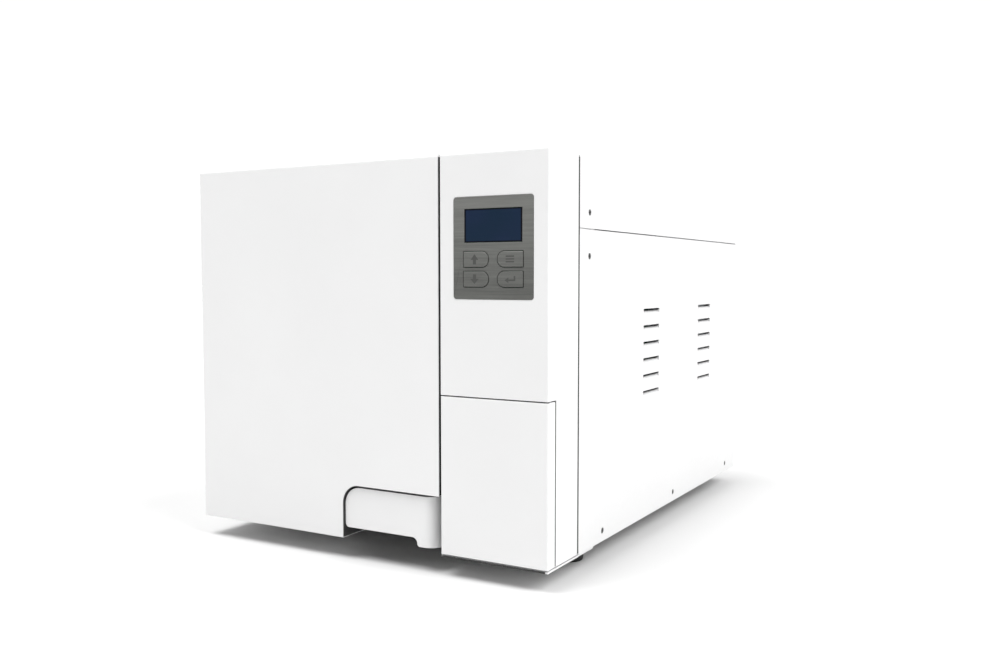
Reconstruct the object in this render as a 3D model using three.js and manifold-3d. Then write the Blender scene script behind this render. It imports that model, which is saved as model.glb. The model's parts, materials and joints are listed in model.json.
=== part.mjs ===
// A benchtop steam steriliser (autoclave) with an 18 litre chamber, as an assembly of separate pieces.
//
// Units are millimetres. +X is the user's right, +Y runs from the front to the rear and +Z is up.
// Inside the "assembly" group y = 0 is the plane of the door's front face and z = 0 is the bench.
// The exported group moves that so that its origin is the centre of the footprint, on the bench.

import * as THREE from "three";
import { mergeVertices } from "three/addons/utils/BufferGeometryUtils.js";
import Module from "manifold-3d";

const wasm = await Module();
wasm.setup();

// ---------------------------------------------------------------- driving dimensions

const WIDTH = 446;
const HALF_WIDTH = WIDTH / 2;
const HOUSING_BACK = 602; // rear edge of the side panels and the top cover
const REAR_REACH = 10; // how far the rear fittings stand out of the housing
const KEY_PROUD = 1; // how far the keys stand out of the front plane
const TOTAL_DEPTH = HOUSING_BACK + REAR_REACH + KEY_PROUD;

const FACE_BOTTOM = 22; // lower edge of the door and of the service door
const HOUSING_TOP = 418.6;
const TOP_EDGE_RADIUS = 4.6; // rounding of the upper front edge
const FACE_DEPTH = 64.5; // depth of the door and of the control column
const HOUSING_FRONT = 67.5; // front edge of the sheet-metal housing
const SHEET = 1.2; // thickness of the painted sheet
const SKIN = 3; // thickness of the moulded covers
const TOUCH = 0.3; // gap left between pieces that touch
const SEAM_Z = 345.5; // seam between the side panels and the top cover
const SEAM_GAP = 1;

const DOOR_RIGHT = 101.2;
const COLUMN_LEFT = 103.7;
const HINGE_X = -213; // axis of the main door
const HINGE_Y = 54.5;
const HINGE_RADIUS = 10; // rounding of the door's rear left corner about that axis
const DOOR_LUGS_Z = [60, 376]; // heights of the two hinge lugs
const LUG_HEIGHT = 6;

const CHAMBER_X = -61; // chamber axis, level with the door's centre
const CHAMBER_Z = 220;
const CHAMBER_RADIUS = 125;
const CHAMBER_WALL = 2;
const CHAMBER_FRONT = 73;
const CHAMBER_LENGTH = 350;
const DISH_DEPTH = 34;

const LEVER_X = 81; // axis of the door lever and its latch shaft
const LEVER_Y = 23;
const HUB_RADIUS = 20;
const RECESS_LEFT = -20.2; // handle recess in the lower right corner of the door
const RECESS_TOP = 79.2;
const RECESS_RADIUS = 20;
const RECESS_DEPTH = 50;
const LEVER_TOP = RECESS_TOP - 1.5;
const LEVER_LEFT = RECESS_LEFT + 1.5;
const LEVER_FACE = LEVER_Y - HUB_RADIUS; // the lever's face is tangent to its hub
const HOOKS_Z = [86, 350];
const HOOK_HEIGHT = 8;

const SERVICE_TOP = 180.3; // upper edge of the service door
const SERVICE_DEPTH = 15;
const SERVICE_GAP = 2;
const SERVICE_HINGE_X = 110.5;
const SERVICE_HINGE_Y = 6.5;

const PLATE = { x0: 119.7, x1: 207.4, z0: 276.3, z1: 374.5, radius: 3 };
const SCREEN = { x0: 132, x1: 195.5, z0: 330.5, z1: 363 };
const KEY_SIZE = { width: 27.8, height: 15 };
const KEY_TRAVEL_ROOM = 0.9;
const KEYS = [
  { name: "key_up", x: 145, z: 314.6, side: 1 },
  { name: "key_down", x: 145, z: 295.6, side: 1 },
  { name: "key_menu", x: 182.7, z: 314.6, side: -1 },
  { name: "key_enter", x: 182.7, z: 295.6, side: -1 },
];

const LOUVRE = { length: 50, pitch: 18.8, count: 6, topZ: 261.7, height: 5.6, slit: 2.4, depth: 4 };
const LOUVRE_COLUMNS_Y = [238.5, 430.5];
const SIDE_SCREWS = [
  { y: 90.7, z: 361.9 },
  { y: 90.7, z: 318.4 },
  { y: 126.3, z: 32.4 },
  { y: 341.5, z: 32.4 },
  { y: 556.8, z: 32.4 },
];

const PAN_BOTTOM = 18.9;
const PAN_SHEET = 1.8;
const FRAME_BACK = 104.5; // rear edge of the front frame's flanges
const FRONT_FEET = { x: 190, y: 117 };
const REAR_FEET = { x: 170, y: 545 };
const FOOT_RADIUS = 14;

const TRAY = { halfWidth: 82, length: 296, height: 13, sheet: 1.4 };
const TRAY_LEVELS = [-52, -10, 32]; // undersides of the three trays, from the chamber's axis
const RACK = { halfWidth: 86, sheet: 1.6, y0: 96, y1: 400, low: -84, high: 74, ledge: 9 };

const BAY = { x0: 110, x1: 211, y0: 19, back: 140, z0: 27.5, z1: 176.5, wall: 2 };
const ROCKER = { x: 190, z: 140, halfWidth: 6, halfHeight: 10, offTilt: -0.14 };
const PORTS = { xs: [136, 188], z: 60 };
const FILTER = { x: 140, z: 130 };

const TANK = { x0: 100, x1: 214, y0: 300, y1: 560, z0: 200, z1: 404, wall: 2.5 };
const NECK = { x0: 112, x1: 176, y0: 402, y1: 458, wall: 2.5 };
const LID = { x0: 100, x1: 188, y0: 388, hingeY: 475, z0: 418.9, thickness: 6 };

const FAN = { x: -130, z: 315, size: 120, front: 571, depth: 25, bore: 56 };
const INLET = { x: 170, z: 60 }; // centre of the mains socket in the rear panel
const RELIEF = { x: 20, z: 330 }; // axis of the safety valve

const ROUND = 32; // facets of a large round piece
const SMALL_ROUND = 16; // facets of a small round piece

// ---------------------------------------------------------------- materials

function finish(color, roughness, metalness) {
  return new THREE.MeshStandardMaterial({ color, roughness, metalness });
}

const MATERIALS = {
  whiteMoulding: finish(0xefefef, 0.42, 0),
  whitePaint: finish(0xf6f6f6, 0.48, 0),
  brushedSteel: finish(0x74746f, 0.38, 0.85),
  stainless: finish(0xc9cbcc, 0.25, 1),
  zincSteel: finish(0xa9adb0, 0.4, 0.9),
  darkScreen: finish(0x1d2b45, 0.12, 0),
  blackRubber: finish(0x1a1a1a, 0.8, 0),
  silicone: finish(0xe6e1d6, 0.6, 0),
  insulation: finish(0xd9d2bd, 0.95, 0),
  brass: finish(0xb68d3f, 0.35, 1),
  castMetal: finish(0x7d8184, 0.6, 0.7),
  circuitBoard: finish(0x1f5a3a, 0.55, 0),
  blackMoulding: finish(0x1e1f20, 0.5, 0),
  tankMoulding: finish(0xdfe6ea, 0.4, 0),
  blueCap: finish(0x2f6fb0, 0.45, 0),
};

// ---------------------------------------------------------------- solids from three.js geometry

function manifoldOf(positions, indices) {
  return new wasm.Manifold(new wasm.Mesh({ numProp: 3, vertProperties: positions, triVerts: indices }));
}

// A geometry as a closed solid. One that was drawn facing inwards is turned to face out.
function solid(geometry) {
  const bare = geometry.clone();
  bare.deleteAttribute("normal");
  bare.deleteAttribute("uv");
  const merged = mergeVertices(bare, 1e-4);
  const positions = merged.attributes.position.array;
  const indices = new Uint32Array(merged.index.array);
  const made = manifoldOf(positions, indices);
  return made.volume() < 0 ? manifoldOf(positions, indices.reverse()) : made;
}

function geometryOf(made) {
  const mesh = made.getMesh();
  const geometry = new THREE.BufferGeometry();
  geometry.setAttribute("position", new THREE.BufferAttribute(mesh.vertProperties, 3));
  geometry.setIndex(new THREE.BufferAttribute(mesh.triVerts, 1));
  const flat = geometry.toNonIndexed();
  flat.computeVertexNormals();
  return flat;
}

function box(x0, x1, y0, y1, z0, z1) {
  const geometry = new THREE.BoxGeometry(x1 - x0, y1 - y0, z1 - z0);
  return solid(geometry.translate((x0 + x1) / 2, (y0 + y1) / 2, (z0 + z1) / 2));
}

function extruded(shape, depth, facets) {
  return new THREE.ExtrudeGeometry(shape, { depth, bevelEnabled: false, curveSegments: facets });
}

// An outline in x and y, raised from z0 to z1.
function prismZ(shape, z0, z1, facets = 6) {
  return solid(extruded(shape, z1 - z0, facets).translate(0, 0, z0));
}

// An outline in x and z, running from y0 to y1.
function prismY(shape, y0, y1, facets = 6) {
  return solid(extruded(shape, y1 - y0, facets).rotateX(Math.PI / 2).translate(0, y1, 0));
}

// An outline in y and z, running from x0 to x1.
function prismX(shape, x0, x1, facets = 6) {
  const axes = new THREE.Matrix4().makeBasis(
    new THREE.Vector3(0, 1, 0),
    new THREE.Vector3(0, 0, 1),
    new THREE.Vector3(1, 0, 0),
  );
  return solid(extruded(shape, x1 - x0, facets).applyMatrix4(axes).translate(x0, 0, 0));
}

// A round bar along one axis, centred on the two other coordinates.
function barX(y, z, radius, x0, x1, facets = SMALL_ROUND) {
  const geometry = new THREE.CylinderGeometry(radius, radius, x1 - x0, facets);
  return solid(geometry.rotateZ(-Math.PI / 2).translate((x0 + x1) / 2, y, z));
}

function barY(x, z, radius, y0, y1, facets = SMALL_ROUND) {
  const geometry = new THREE.CylinderGeometry(radius, radius, y1 - y0, facets);
  return solid(geometry.translate(x, (y0 + y1) / 2, z));
}

function barZ(x, y, radius, z0, z1, facets = SMALL_ROUND) {
  const geometry = new THREE.CylinderGeometry(radius, radius, z1 - z0, facets);
  return solid(geometry.rotateX(Math.PI / 2).translate(x, y, (z0 + z1) / 2));
}

// A profile of [radius, distance along the axis] pairs turned about the Y axis through (x, z).
function turnedY(x, z, profile, facets = ROUND) {
  const points = profile.map(([radius, along]) => new THREE.Vector2(radius, along));
  return solid(new THREE.LatheGeometry(points, facets).translate(x, 0, z));
}

// The same, turned about the Z axis through (x, y).
function turnedZ(x, y, profile, facets = SMALL_ROUND) {
  const points = profile.map(([radius, along]) => new THREE.Vector2(radius, along));
  return solid(new THREE.LatheGeometry(points, facets).rotateX(Math.PI / 2).translate(x, y, 0));
}

function polygon(points) {
  return new THREE.Shape(points.map(([u, v]) => new THREE.Vector2(u, v)));
}

// A rectangle with a radius of its own at each corner: lower left, lower right, upper right, upper left.
function roundedRect(u0, v0, u1, v1, radii) {
  const [a, b, c, d] = Array.isArray(radii) ? radii : [radii, radii, radii, radii];
  const shape = new THREE.Shape();
  shape.moveTo(u0 + a, v0);
  shape.lineTo(u1 - b, v0);
  if (b) shape.absarc(u1 - b, v0 + b, b, -Math.PI / 2, 0);
  shape.lineTo(u1, v1 - c);
  if (c) shape.absarc(u1 - c, v1 - c, c, 0, Math.PI / 2);
  shape.lineTo(u0 + d, v1);
  if (d) shape.absarc(u0 + d, v1 - d, d, Math.PI / 2, Math.PI);
  shape.lineTo(u0, v0 + a);
  if (a) shape.absarc(u0 + a, v0 + a, a, Math.PI, 1.5 * Math.PI);
  return shape;
}

function join(first, ...others) {
  return others.reduce((made, other) => made.add(other), first);
}

function cut(first, ...others) {
  return others.reduce((made, other) => made.subtract(other), first);
}

// ---------------------------------------------------------------- assembly groups

const assembly = new THREE.Group();
assembly.position.y = -TOTAL_DEPTH / 2 + KEY_PROUD;

function subassembly() {
  const group = new THREE.Group();
  assembly.add(group);
  return group;
}

const chassis = subassembly();
const chamber = subassembly();
const controls = subassembly();
const door = subassembly();
const lever = subassembly();
const serviceDoor = subassembly();
const tankLid = subassembly();

function add(group, name, made, material, position = [0, 0, 0]) {
  const mesh = new THREE.Mesh(made.isBufferGeometry ? made : geometryOf(made), material);
  mesh.name = name;
  mesh.position.set(...position);
  group.add(mesh);
  return mesh;
}

// ---------------------------------------------------------------- housing

// The floor of the housing. A tongue runs forward under the control column.
function basePan() {
  const top = PAN_BOTTOM + PAN_SHEET;
  const front = box(-222, 222, HOUSING_FRONT, FRAME_BACK, PAN_BOTTOM, top);
  const tongue = box(COLUMN_LEFT, 222.4, 1.5, HOUSING_FRONT + 1, PAN_BOTTOM, top);
  const floor = box(-214, 214, FRAME_BACK - 1, 598, PAN_BOTTOM, top);
  const rim = [
    box(-214, -212.2, FRAME_BACK + 1.5, 598, PAN_BOTTOM, 45),
    box(212.2, 214, FRAME_BACK + 1.5, 598, PAN_BOTTOM, 45),
    box(-214, 214, 596.2, 598, PAN_BOTTOM, 45),
  ];
  const pintleHole = barZ(SERVICE_HINGE_X, SERVICE_HINGE_Y, 2.5, 10, 30);
  return cut(join(front, tongue, floor, ...rim), pintleHole);
}

// The plate that carries the chamber, with the door's hinge lugs in front and flanges behind.
function frontFrame() {
  const outer = prismY(roundedRect(-221.4, 21, 221.4, 417, [0, 0, 4, 4]), HOUSING_FRONT, FRAME_BACK, 3);
  const inner = box(-219.9, 219.9, HOUSING_FRONT + 2, FRAME_BACK + 1, 22.5, 415.5);
  const mouth = barY(CHAMBER_X, CHAMBER_Z, 138.6, 60, 80, ROUND);
  const bay = box(108, 213, 60, 80, 26, 178.5);
  const wiring = box(120, 205, 60, 80, 280, 370);
  const hookSlots = HOOKS_Z.map((z) => box(28, 92.5, 60, 80, z - 3, z + HOOK_HEIGHT + 3));
  const lugs = DOOR_LUGS_Z.map((z) => {
    const arm = box(HINGE_X - 6, HINGE_X + 6, HINGE_Y, HOUSING_FRONT + 1, z, z + LUG_HEIGHT);
    const eye = barZ(HINGE_X, HINGE_Y, 6, z, z + LUG_HEIGHT);
    return cut(join(arm, eye), barZ(HINGE_X, HINGE_Y, 4.16, z - 1, z + LUG_HEIGHT + 1));
  });
  // The two upper side screws run into the flanges.
  const screwHoles = SIDE_SCREWS.slice(0, 2).map(({ y, z }) => barX(y, z, 2.4, -230, 230, 12));
  return join(cut(outer, inner, mouth, bay, wiring, ...hookSlots, ...screwHoles), ...lugs);
}

// A cover of folded sheet: the roof and the upper part of both sides.
function topCover() {
  const skirt = SEAM_Z + SEAM_GAP / 2;
  const radius = TOP_EDGE_RADIUS;
  const outer = roundedRect(-HALF_WIDTH, skirt, HALF_WIDTH, HOUSING_TOP, [0, 0, radius, radius]);
  const inner = roundedRect(
    -HALF_WIDTH + SHEET,
    skirt - 1,
    HALF_WIDTH - SHEET,
    HOUSING_TOP - SHEET,
    [0, 0, radius - SHEET, radius - SHEET],
  );
  const shell = cut(
    prismY(outer, HOUSING_FRONT, HOUSING_BACK, 3),
    prismY(inner, HOUSING_FRONT - 1, HOUSING_BACK + 1, 3),
  );
  const filler = box(
    NECK.x0 + NECK.wall,
    NECK.x1 - NECK.wall,
    NECK.y0 + NECK.wall,
    NECK.y1 - NECK.wall,
    HOUSING_TOP - 10,
    HOUSING_TOP + 1,
  );
  const [upperScrew] = SIDE_SCREWS;
  const screwHoles = barX(upperScrew.y, upperScrew.z, 3.5, -HALF_WIDTH - 1, HALF_WIDTH + 1);
  return cut(shell, filler, screwHoles);
}

// The right-hand side panel, with two columns of pressed-in louvres. The left one is its mirror image.
function sidePanel() {
  const inside = HALF_WIDTH - SHEET;
  const panel = box(inside, HALF_WIDTH, HOUSING_FRONT, HOUSING_BACK, 21.2, SEAM_Z - SEAM_GAP / 2);
  const windows = [];
  const flaps = [];
  for (const y of LOUVRE_COLUMNS_Y) {
    for (let i = 0; i < LOUVRE.count; i++) {
      const top = LOUVRE.topZ - i * LOUVRE.pitch;
      const bottom = top - LOUVRE.height;
      windows.push(box(inside - 1, HALF_WIDTH + 1, y, y + LOUVRE.length, bottom, top));
      const flap = polygon([
        [inside, bottom - 0.5],
        [HALF_WIDTH, bottom - 0.5],
        [HALF_WIDTH, bottom],
        [HALF_WIDTH - LOUVRE.depth, top - LOUVRE.slit],
        [HALF_WIDTH - LOUVRE.depth - SHEET, top - LOUVRE.slit],
      ]);
      flaps.push(prismY(flap, y, y + LOUVRE.length));
    }
  }
  const screwHoles = SIDE_SCREWS.slice(1).map(({ y, z }) => barX(y, z, 3.5, inside - 1, HALF_WIDTH + 1));
  return cut(join(cut(panel, ...windows), ...flaps), ...screwHoles);
}

// The back of the housing: a fan grille, the mains inlet's cut-out and the safety valve's hole.
function rearPanel() {
  const plate = prismY(roundedRect(-221.4, 21.2, 221.4, 417, [0, 0, 4, 4]), 598.6, 600, 3);
  const bars = 7;
  const slots = [];
  for (let i = 0; i < bars; i++) {
    const offset = (i - (bars - 1) / 2) * 14;
    const reach = Math.sqrt(52 ** 2 - (Math.abs(offset) + 4) ** 2);
    const slot = roundedRect(FAN.x - reach, FAN.z + offset - 4, FAN.x + reach, FAN.z + offset + 4, 3.9);
    slots.push(prismY(slot, 590, 605, 2));
  }
  const { x, z } = INLET;
  const inlet = box(x - 14.4, x + 14.4, 590, 605, z - 12.4, z + 12.4);
  const valve = barY(RELIEF.x, RELIEF.z, 9.5, 590, 605);
  return cut(plate, ...slots, inlet, valve);
}

function foot() {
  const profile = [
    [0, 0],
    [FOOT_RADIUS - 2, 0],
    [FOOT_RADIUS, 2.5],
    [FOOT_RADIUS - 1.5, PAN_BOTTOM - TOUCH],
    [0, PAN_BOTTOM - TOUCH],
  ];
  return turnedZ(0, 0, profile, 16);
}

// A countersunk screw along X, its head flush with the panel.
function sideScrew() {
  const head = new THREE.CylinderGeometry(3.2, 1.7, 2, 10).rotateZ(-Math.PI / 2).translate(-1.2, 0, 0);
  const shank = barX(0, 0, 1.7, -9, -1.6, 10);
  const slot = box(-0.9, 1, -0.5, 0.5, -2.2, 2.2);
  return cut(join(solid(head), shank), slot);
}

add(chassis, "base_pan", basePan(), MATERIALS.whitePaint);
add(chassis, "front_frame", frontFrame(), MATERIALS.whitePaint);
add(chassis, "top_cover", topCover(), MATERIALS.whitePaint);
const rightPanel = geometryOf(sidePanel());
add(chassis, "side_panel_right", rightPanel, MATERIALS.whitePaint);
add(chassis, "side_panel_left", rightPanel, MATERIALS.whitePaint).scale.x = -1;
add(chassis, "rear_panel", rearPanel(), MATERIALS.whitePaint);

const footShape = geometryOf(foot());
for (const [end, { x, y }] of [["front", FRONT_FEET], ["rear", REAR_FEET]]) {
  add(chassis, `foot_${end}_left`, footShape, MATERIALS.blackRubber, [-x, y, 0]);
  add(chassis, `foot_${end}_right`, footShape, MATERIALS.blackRubber, [x, y, 0]);
}

const screwShape = geometryOf(sideScrew());
const SCREW_NAMES = ["upper", "middle", "lower_front", "lower_centre", "lower_rear"];
SIDE_SCREWS.forEach(({ y, z }, i) => {
  add(chassis, `side_screw_${SCREW_NAMES[i]}`, screwShape, MATERIALS.zincSteel, [HALF_WIDTH, y, z]);
});

// ---------------------------------------------------------------- chamber and what it holds

// A tube with a dished rear end.
function chamberVessel() {
  const inner = CHAMBER_RADIUS;
  const outer = inner + CHAMBER_WALL;
  const dishStart = CHAMBER_FRONT + CHAMBER_LENGTH;
  const steps = [1, 2, 3, 4].map((i) => (i * Math.PI) / 8);
  const dish = (radius, depth) => steps.map((a) => [radius * Math.cos(a), dishStart + depth * Math.sin(a)]);
  const profile = [
    [inner, CHAMBER_FRONT],
    [outer, CHAMBER_FRONT],
    [outer, dishStart],
    ...dish(outer, DISH_DEPTH + CHAMBER_WALL).slice(0, -1),
    [0, dishStart + DISH_DEPTH + CHAMBER_WALL],
    [0, dishStart + DISH_DEPTH],
    ...dish(inner, DISH_DEPTH).slice(0, -1).reverse(),
    [inner, dishStart],
    [inner, CHAMBER_FRONT],
  ];
  return turnedY(CHAMBER_X, CHAMBER_Z, profile);
}

// A ring about the chamber's axis.
function chamberRing(innerRadius, outerRadius, y0, y1, facets = ROUND) {
  const profile = [
    [innerRadius, y0],
    [outerRadius, y0],
    [outerRadius, y1],
    [innerRadius, y1],
    [innerRadius, y0],
  ];
  return turnedY(CHAMBER_X, CHAMBER_Z, profile, facets);
}

// Two side plates with a pair of ledges for each tray, tied by cross bars under and over the trays.
function trayRack() {
  const { halfWidth, sheet, y0, y1, low, high, ledge } = RACK;
  const pieces = [];
  for (const side of [-1, 1]) {
    const plate = [side * halfWidth, side * (halfWidth - sheet)].sort((a, b) => a - b);
    pieces.push(box(plate[0], plate[1], y0, y1, low, high));
    for (const level of TRAY_LEVELS) {
      const shelf = [side * (halfWidth - sheet + 0.5), side * (halfWidth - ledge)].sort((a, b) => a - b);
      pieces.push(box(shelf[0], shelf[1], y0, y1, level - sheet, level));
    }
  }
  for (const y of [y0 + 10, y1 - 30]) {
    pieces.push(box(-halfWidth, halfWidth, y, y + 20, low, low + sheet));
    pieces.push(box(-halfWidth, halfWidth, y, y + 20, high - sheet, high));
  }
  return join(...pieces);
}

// A shallow pan with a front lip to pull it by.
function tray() {
  const { halfWidth, length, height, sheet } = TRAY;
  const pan = cut(
    box(-halfWidth, halfWidth, 0, length, 0, height),
    box(-halfWidth + sheet, halfWidth - sheet, sheet, length - sheet, sheet, height + 1),
  );
  return join(pan, box(-40, 40, -5, 1, height - sheet, height));
}

const chamberPlace = [CHAMBER_X, 0, CHAMBER_Z];
add(chamber, "chamber_vessel", chamberVessel(), MATERIALS.stainless);
add(chamber, "chamber_flange", chamberRing(127.6, 150, 72.3, 84), MATERIALS.stainless);
add(chamber, "heater_band", chamberRing(127.6, 129.6, 170, 330), MATERIALS.castMetal);
add(chamber, "insulation_jacket", chamberRing(130.4, 146, 86, 420), MATERIALS.insulation);
add(chamber, "tray_rack", trayRack(), MATERIALS.stainless, chamberPlace);
const trayShape = geometryOf(tray());
TRAY_LEVELS.forEach((level, i) => {
  const place = [CHAMBER_X, RACK.y0 + 4, CHAMBER_Z + level + TOUCH];
  add(chamber, `tray_${i + 1}`, trayShape, MATERIALS.stainless, place);
});

// ---------------------------------------------------------------- steam, water and power units

function steamGenerator() {
  const body = [
    [0, 160],
    [26, 160],
    [36, 166],
    [36, 284],
    [26, 290],
    [0, 290],
  ];
  const shell = turnedY(160, 78, body, 24);
  const saddles = [180, 262].map((y) => box(134, 186, y, y + 10, PAN_BOTTOM + PAN_SHEET + TOUCH, 60));
  return join(shell, ...saddles, barZ(160, 200, 6, 100, 124, 12), barZ(160, 250, 6, 100, 124, 12));
}

function vacuumPump() {
  const bottom = PAN_BOTTOM + PAN_SHEET + TOUCH;
  const plinth = box(-196, -60, 486, 566, bottom, 34);
  const motor = barX(526, 78, 34, -150, -96, 24);
  const heads = [box(-192, -149, 494, 558, 33, 116), box(-97, -64, 494, 558, 33, 116)];
  const ports = [barZ(-172, 526, 6, 115, 128, 12), barZ(-80, 526, 6, 115, 128, 12)];
  return join(plinth, motor, box(-146, -100, 500, 552, 33, 60), ...heads, ...ports);
}

// A hollow tank, open at its filler neck, which meets the underside of the top cover.
function waterTank() {
  const { x0, x1, y0, y1, z0, z1, wall } = TANK;
  const neckTop = HOUSING_TOP - SHEET - TOUCH;
  const body = box(x0, x1, y0, y1, z0, z1);
  const neck = box(NECK.x0, NECK.x1, NECK.y0, NECK.y1, z1 - 1, neckTop);
  const hollow = box(x0 + wall, x1 - wall, y0 + wall, y1 - wall, z0 + wall, z1 - wall);
  const throat = box(
    NECK.x0 + NECK.wall,
    NECK.x1 - NECK.wall,
    NECK.y0 + NECK.wall,
    NECK.y1 - NECK.wall,
    z1 - 10,
    neckTop + 1,
  );
  return cut(join(body, neck), hollow, throat);
}

// A finned radiator in front of the fan, its fins joined by two pipes.
function condenser() {
  const pieces = [];
  const fins = 7;
  for (let i = 0; i < fins; i++) {
    const x = FAN.x - 54 + i * 18;
    pieces.push(box(x - 1, x + 1, 540, 566, FAN.z - 56, FAN.z + 56));
  }
  for (const z of [FAN.z - 36, FAN.z + 36]) {
    pieces.push(barX(553, z, 6, FAN.x - 68, FAN.x + 68, 8));
  }
  return join(...pieces);
}

// A square fan housing with four spokes that hold the motor's seat.
function fanFrame() {
  const half = FAN.size / 2;
  const { x, z, front, depth } = FAN;
  const square = prismY(roundedRect(x - half, z - half, x + half, z + half, 6), front, front + depth, 2);
  const ring = cut(square, barY(x, z, FAN.bore, front - 1, front + depth + 1, ROUND));
  const spokes = join(
    box(x - half + 2, x + half - 2, front, front + 3, z - 3, z + 3),
    box(x - 3, x + 3, front, front + 3, z - half + 2, z + half - 2),
  );
  return join(ring, spokes, barY(x, z, 19, front, front + 5, 20));
}

// Seven pitched blades on a hub, about the Y axis through the origin.
function fanRotor() {
  const blades = [];
  const count = 7;
  for (let i = 0; i < count; i++) {
    const blade = new THREE.BoxGeometry(37, 1.6, 20).rotateX(0.7).translate(34.5, 14, 0);
    blades.push(solid(blade.rotateY((i * 2 * Math.PI) / count)));
  }
  return join(barY(0, 0, 20, 5.5, 22.5, 20), ...blades);
}

function controllerBoard() {
  const board = box(206, 207.6, 110, 290, 190, 320);
  const parts = [
    box(193, 206.2, 130, 165, 205, 245),
    box(198, 206.2, 180, 215, 260, 300),
    box(188, 206.2, 235, 275, 205, 240),
    box(196, 206.2, 235, 275, 255, 305),
    box(199, 206.2, 125, 150, 265, 305),
  ];
  return join(board, ...parts);
}

function powerSupply() {
  const bottom = PAN_BOTTOM + PAN_SHEET + TOUCH;
  const core = box(96, 204, 470, 560, bottom, 118);
  return join(core, box(110, 190, 456, 574, 40, 100));
}

function valveBlock() {
  const bottom = PAN_BOTTOM + PAN_SHEET + TOUCH;
  const pieces = [box(-40, 70, 500, 540, bottom, 60)];
  for (const x of [-24, 15, 54]) {
    pieces.push(barZ(x, 520, 13, 59, 100, 16), barZ(x, 520, 5, 99, 108, 12));
  }
  return join(...pieces);
}

// The pressure relief valve, through the rear panel, with a cap that stands outside.
function safetyValve() {
  const profile = [
    [0, 560],
    [6, 560],
    [6, 580],
    [9, 580],
    [9, 601],
    [11, 601],
    [11, HOUSING_BACK + REAR_REACH],
    [0, HOUSING_BACK + REAR_REACH],
  ];
  return turnedY(RELIEF.x, RELIEF.z, profile, 20);
}

// A three-pin mains socket, open to the rear.
function mainsInlet() {
  const { x, z } = INLET;
  const flange = prismY(roundedRect(x - 20, z - 17, x + 20, z + 17, 4), 600.3, 603, 3);
  const body = box(x - 14, x + 14, 575, 601, z - 12, z + 12);
  const socket = prismY(roundedRect(x - 11.5, z - 9.5, x + 11.5, z + 9.5, 4), 580, 610, 3);
  const pins = [
    [x, z + 3.5],
    [x - 7, z - 3],
    [x + 7, z - 3],
  ].map(([pinX, pinZ]) => box(pinX - 1, pinX + 1, 579, 596, pinZ - 2, pinZ + 2));
  return join(cut(join(flange, body), socket), ...pins);
}

add(chassis, "steam_generator", steamGenerator(), MATERIALS.stainless);
add(chassis, "vacuum_pump", vacuumPump(), MATERIALS.castMetal);
add(chassis, "water_tank", waterTank(), MATERIALS.tankMoulding);
add(chassis, "condenser", condenser(), MATERIALS.zincSteel);
add(chassis, "fan_frame", fanFrame(), MATERIALS.blackMoulding);
add(chassis, "fan_rotor", fanRotor(), MATERIALS.blackMoulding, [FAN.x, FAN.front, FAN.z]);
add(chassis, "controller_board", controllerBoard(), MATERIALS.circuitBoard);
add(chassis, "power_supply", powerSupply(), MATERIALS.castMetal);
add(chassis, "valve_block", valveBlock(), MATERIALS.brass);
add(chassis, "safety_valve", safetyValve(), MATERIALS.brass);
add(chassis, "mains_inlet", mainsInlet(), MATERIALS.blackMoulding);

// ---------------------------------------------------------------- control column

// The side view of the door and the column: a block whose upper front edge is rounded.
function faceProfile(inset) {
  const radius = TOP_EDGE_RADIUS - Math.min(inset, TOP_EDGE_RADIUS - 1);
  return roundedRect(inset, FACE_BOTTOM + inset, FACE_DEPTH + (inset ? 1 : 0), HOUSING_TOP - inset, [
    0,
    0,
    0,
    radius,
  ]);
}

// The moulded column to the right of the door. Its lower half is set back for the service door.
function controlBezel() {
  const outer = prismX(faceProfile(0), COLUMN_LEFT, HALF_WIDTH, 3);
  const hollow = prismX(faceProfile(SKIN), COLUMN_LEFT + SKIN, HALF_WIDTH - SKIN, 3);
  const shelfZ = SERVICE_TOP + 1.2;
  const shelf = box(COLUMN_LEFT + 1, HALF_WIDTH - 1, 1, FACE_DEPTH, shelfZ, shelfZ + SKIN);
  const notch = box(90, 230, -1, SERVICE_DEPTH + SERVICE_GAP, FACE_BOTTOM - 1, shelfZ);
  const seat = roundedRect(
    PLATE.x0 - TOUCH,
    PLATE.z0 - TOUCH,
    PLATE.x1 + TOUCH,
    PLATE.z1 + TOUCH,
    PLATE.radius + TOUCH,
  );
  const window = box(126, 201, -1, 10, 284, 368);
  const pintleHole = barZ(SERVICE_HINGE_X, SERVICE_HINGE_Y, 2.5, shelfZ - 1, shelfZ + SKIN + 1);
  return cut(join(cut(outer, hollow), shelf), notch, prismY(seat, -1, 1.3, 3), window, pintleHole);
}

// A D-shaped key outline, straight on the outer side and round towards the middle of the panel.
function keyOutline(centreX, centreZ, side, grow) {
  const halfWidth = KEY_SIZE.width / 2 + grow;
  const halfHeight = KEY_SIZE.height / 2 + grow;
  const round = 7 + grow;
  const square = 0.8;
  const radii = side > 0 ? [square, round, round, square] : [round, square, square, round];
  return roundedRect(
    centreX - halfWidth,
    centreZ - halfHeight,
    centreX + halfWidth,
    centreZ + halfHeight,
    radii,
  );
}

function controlPlate() {
  const plate = prismY(roundedRect(PLATE.x0, PLATE.z0, PLATE.x1, PLATE.z1, PLATE.radius), -0.3, 1, 3);
  const screen = box(SCREEN.x0, SCREEN.x1, -2, 2, SCREEN.z0, SCREEN.z1);
  const keyHoles = KEYS.map(({ x, z, side }) => prismY(keyOutline(x, z, side, TOUCH), -2, 2, 3));
  return cut(plate, screen, ...keyHoles);
}

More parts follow.
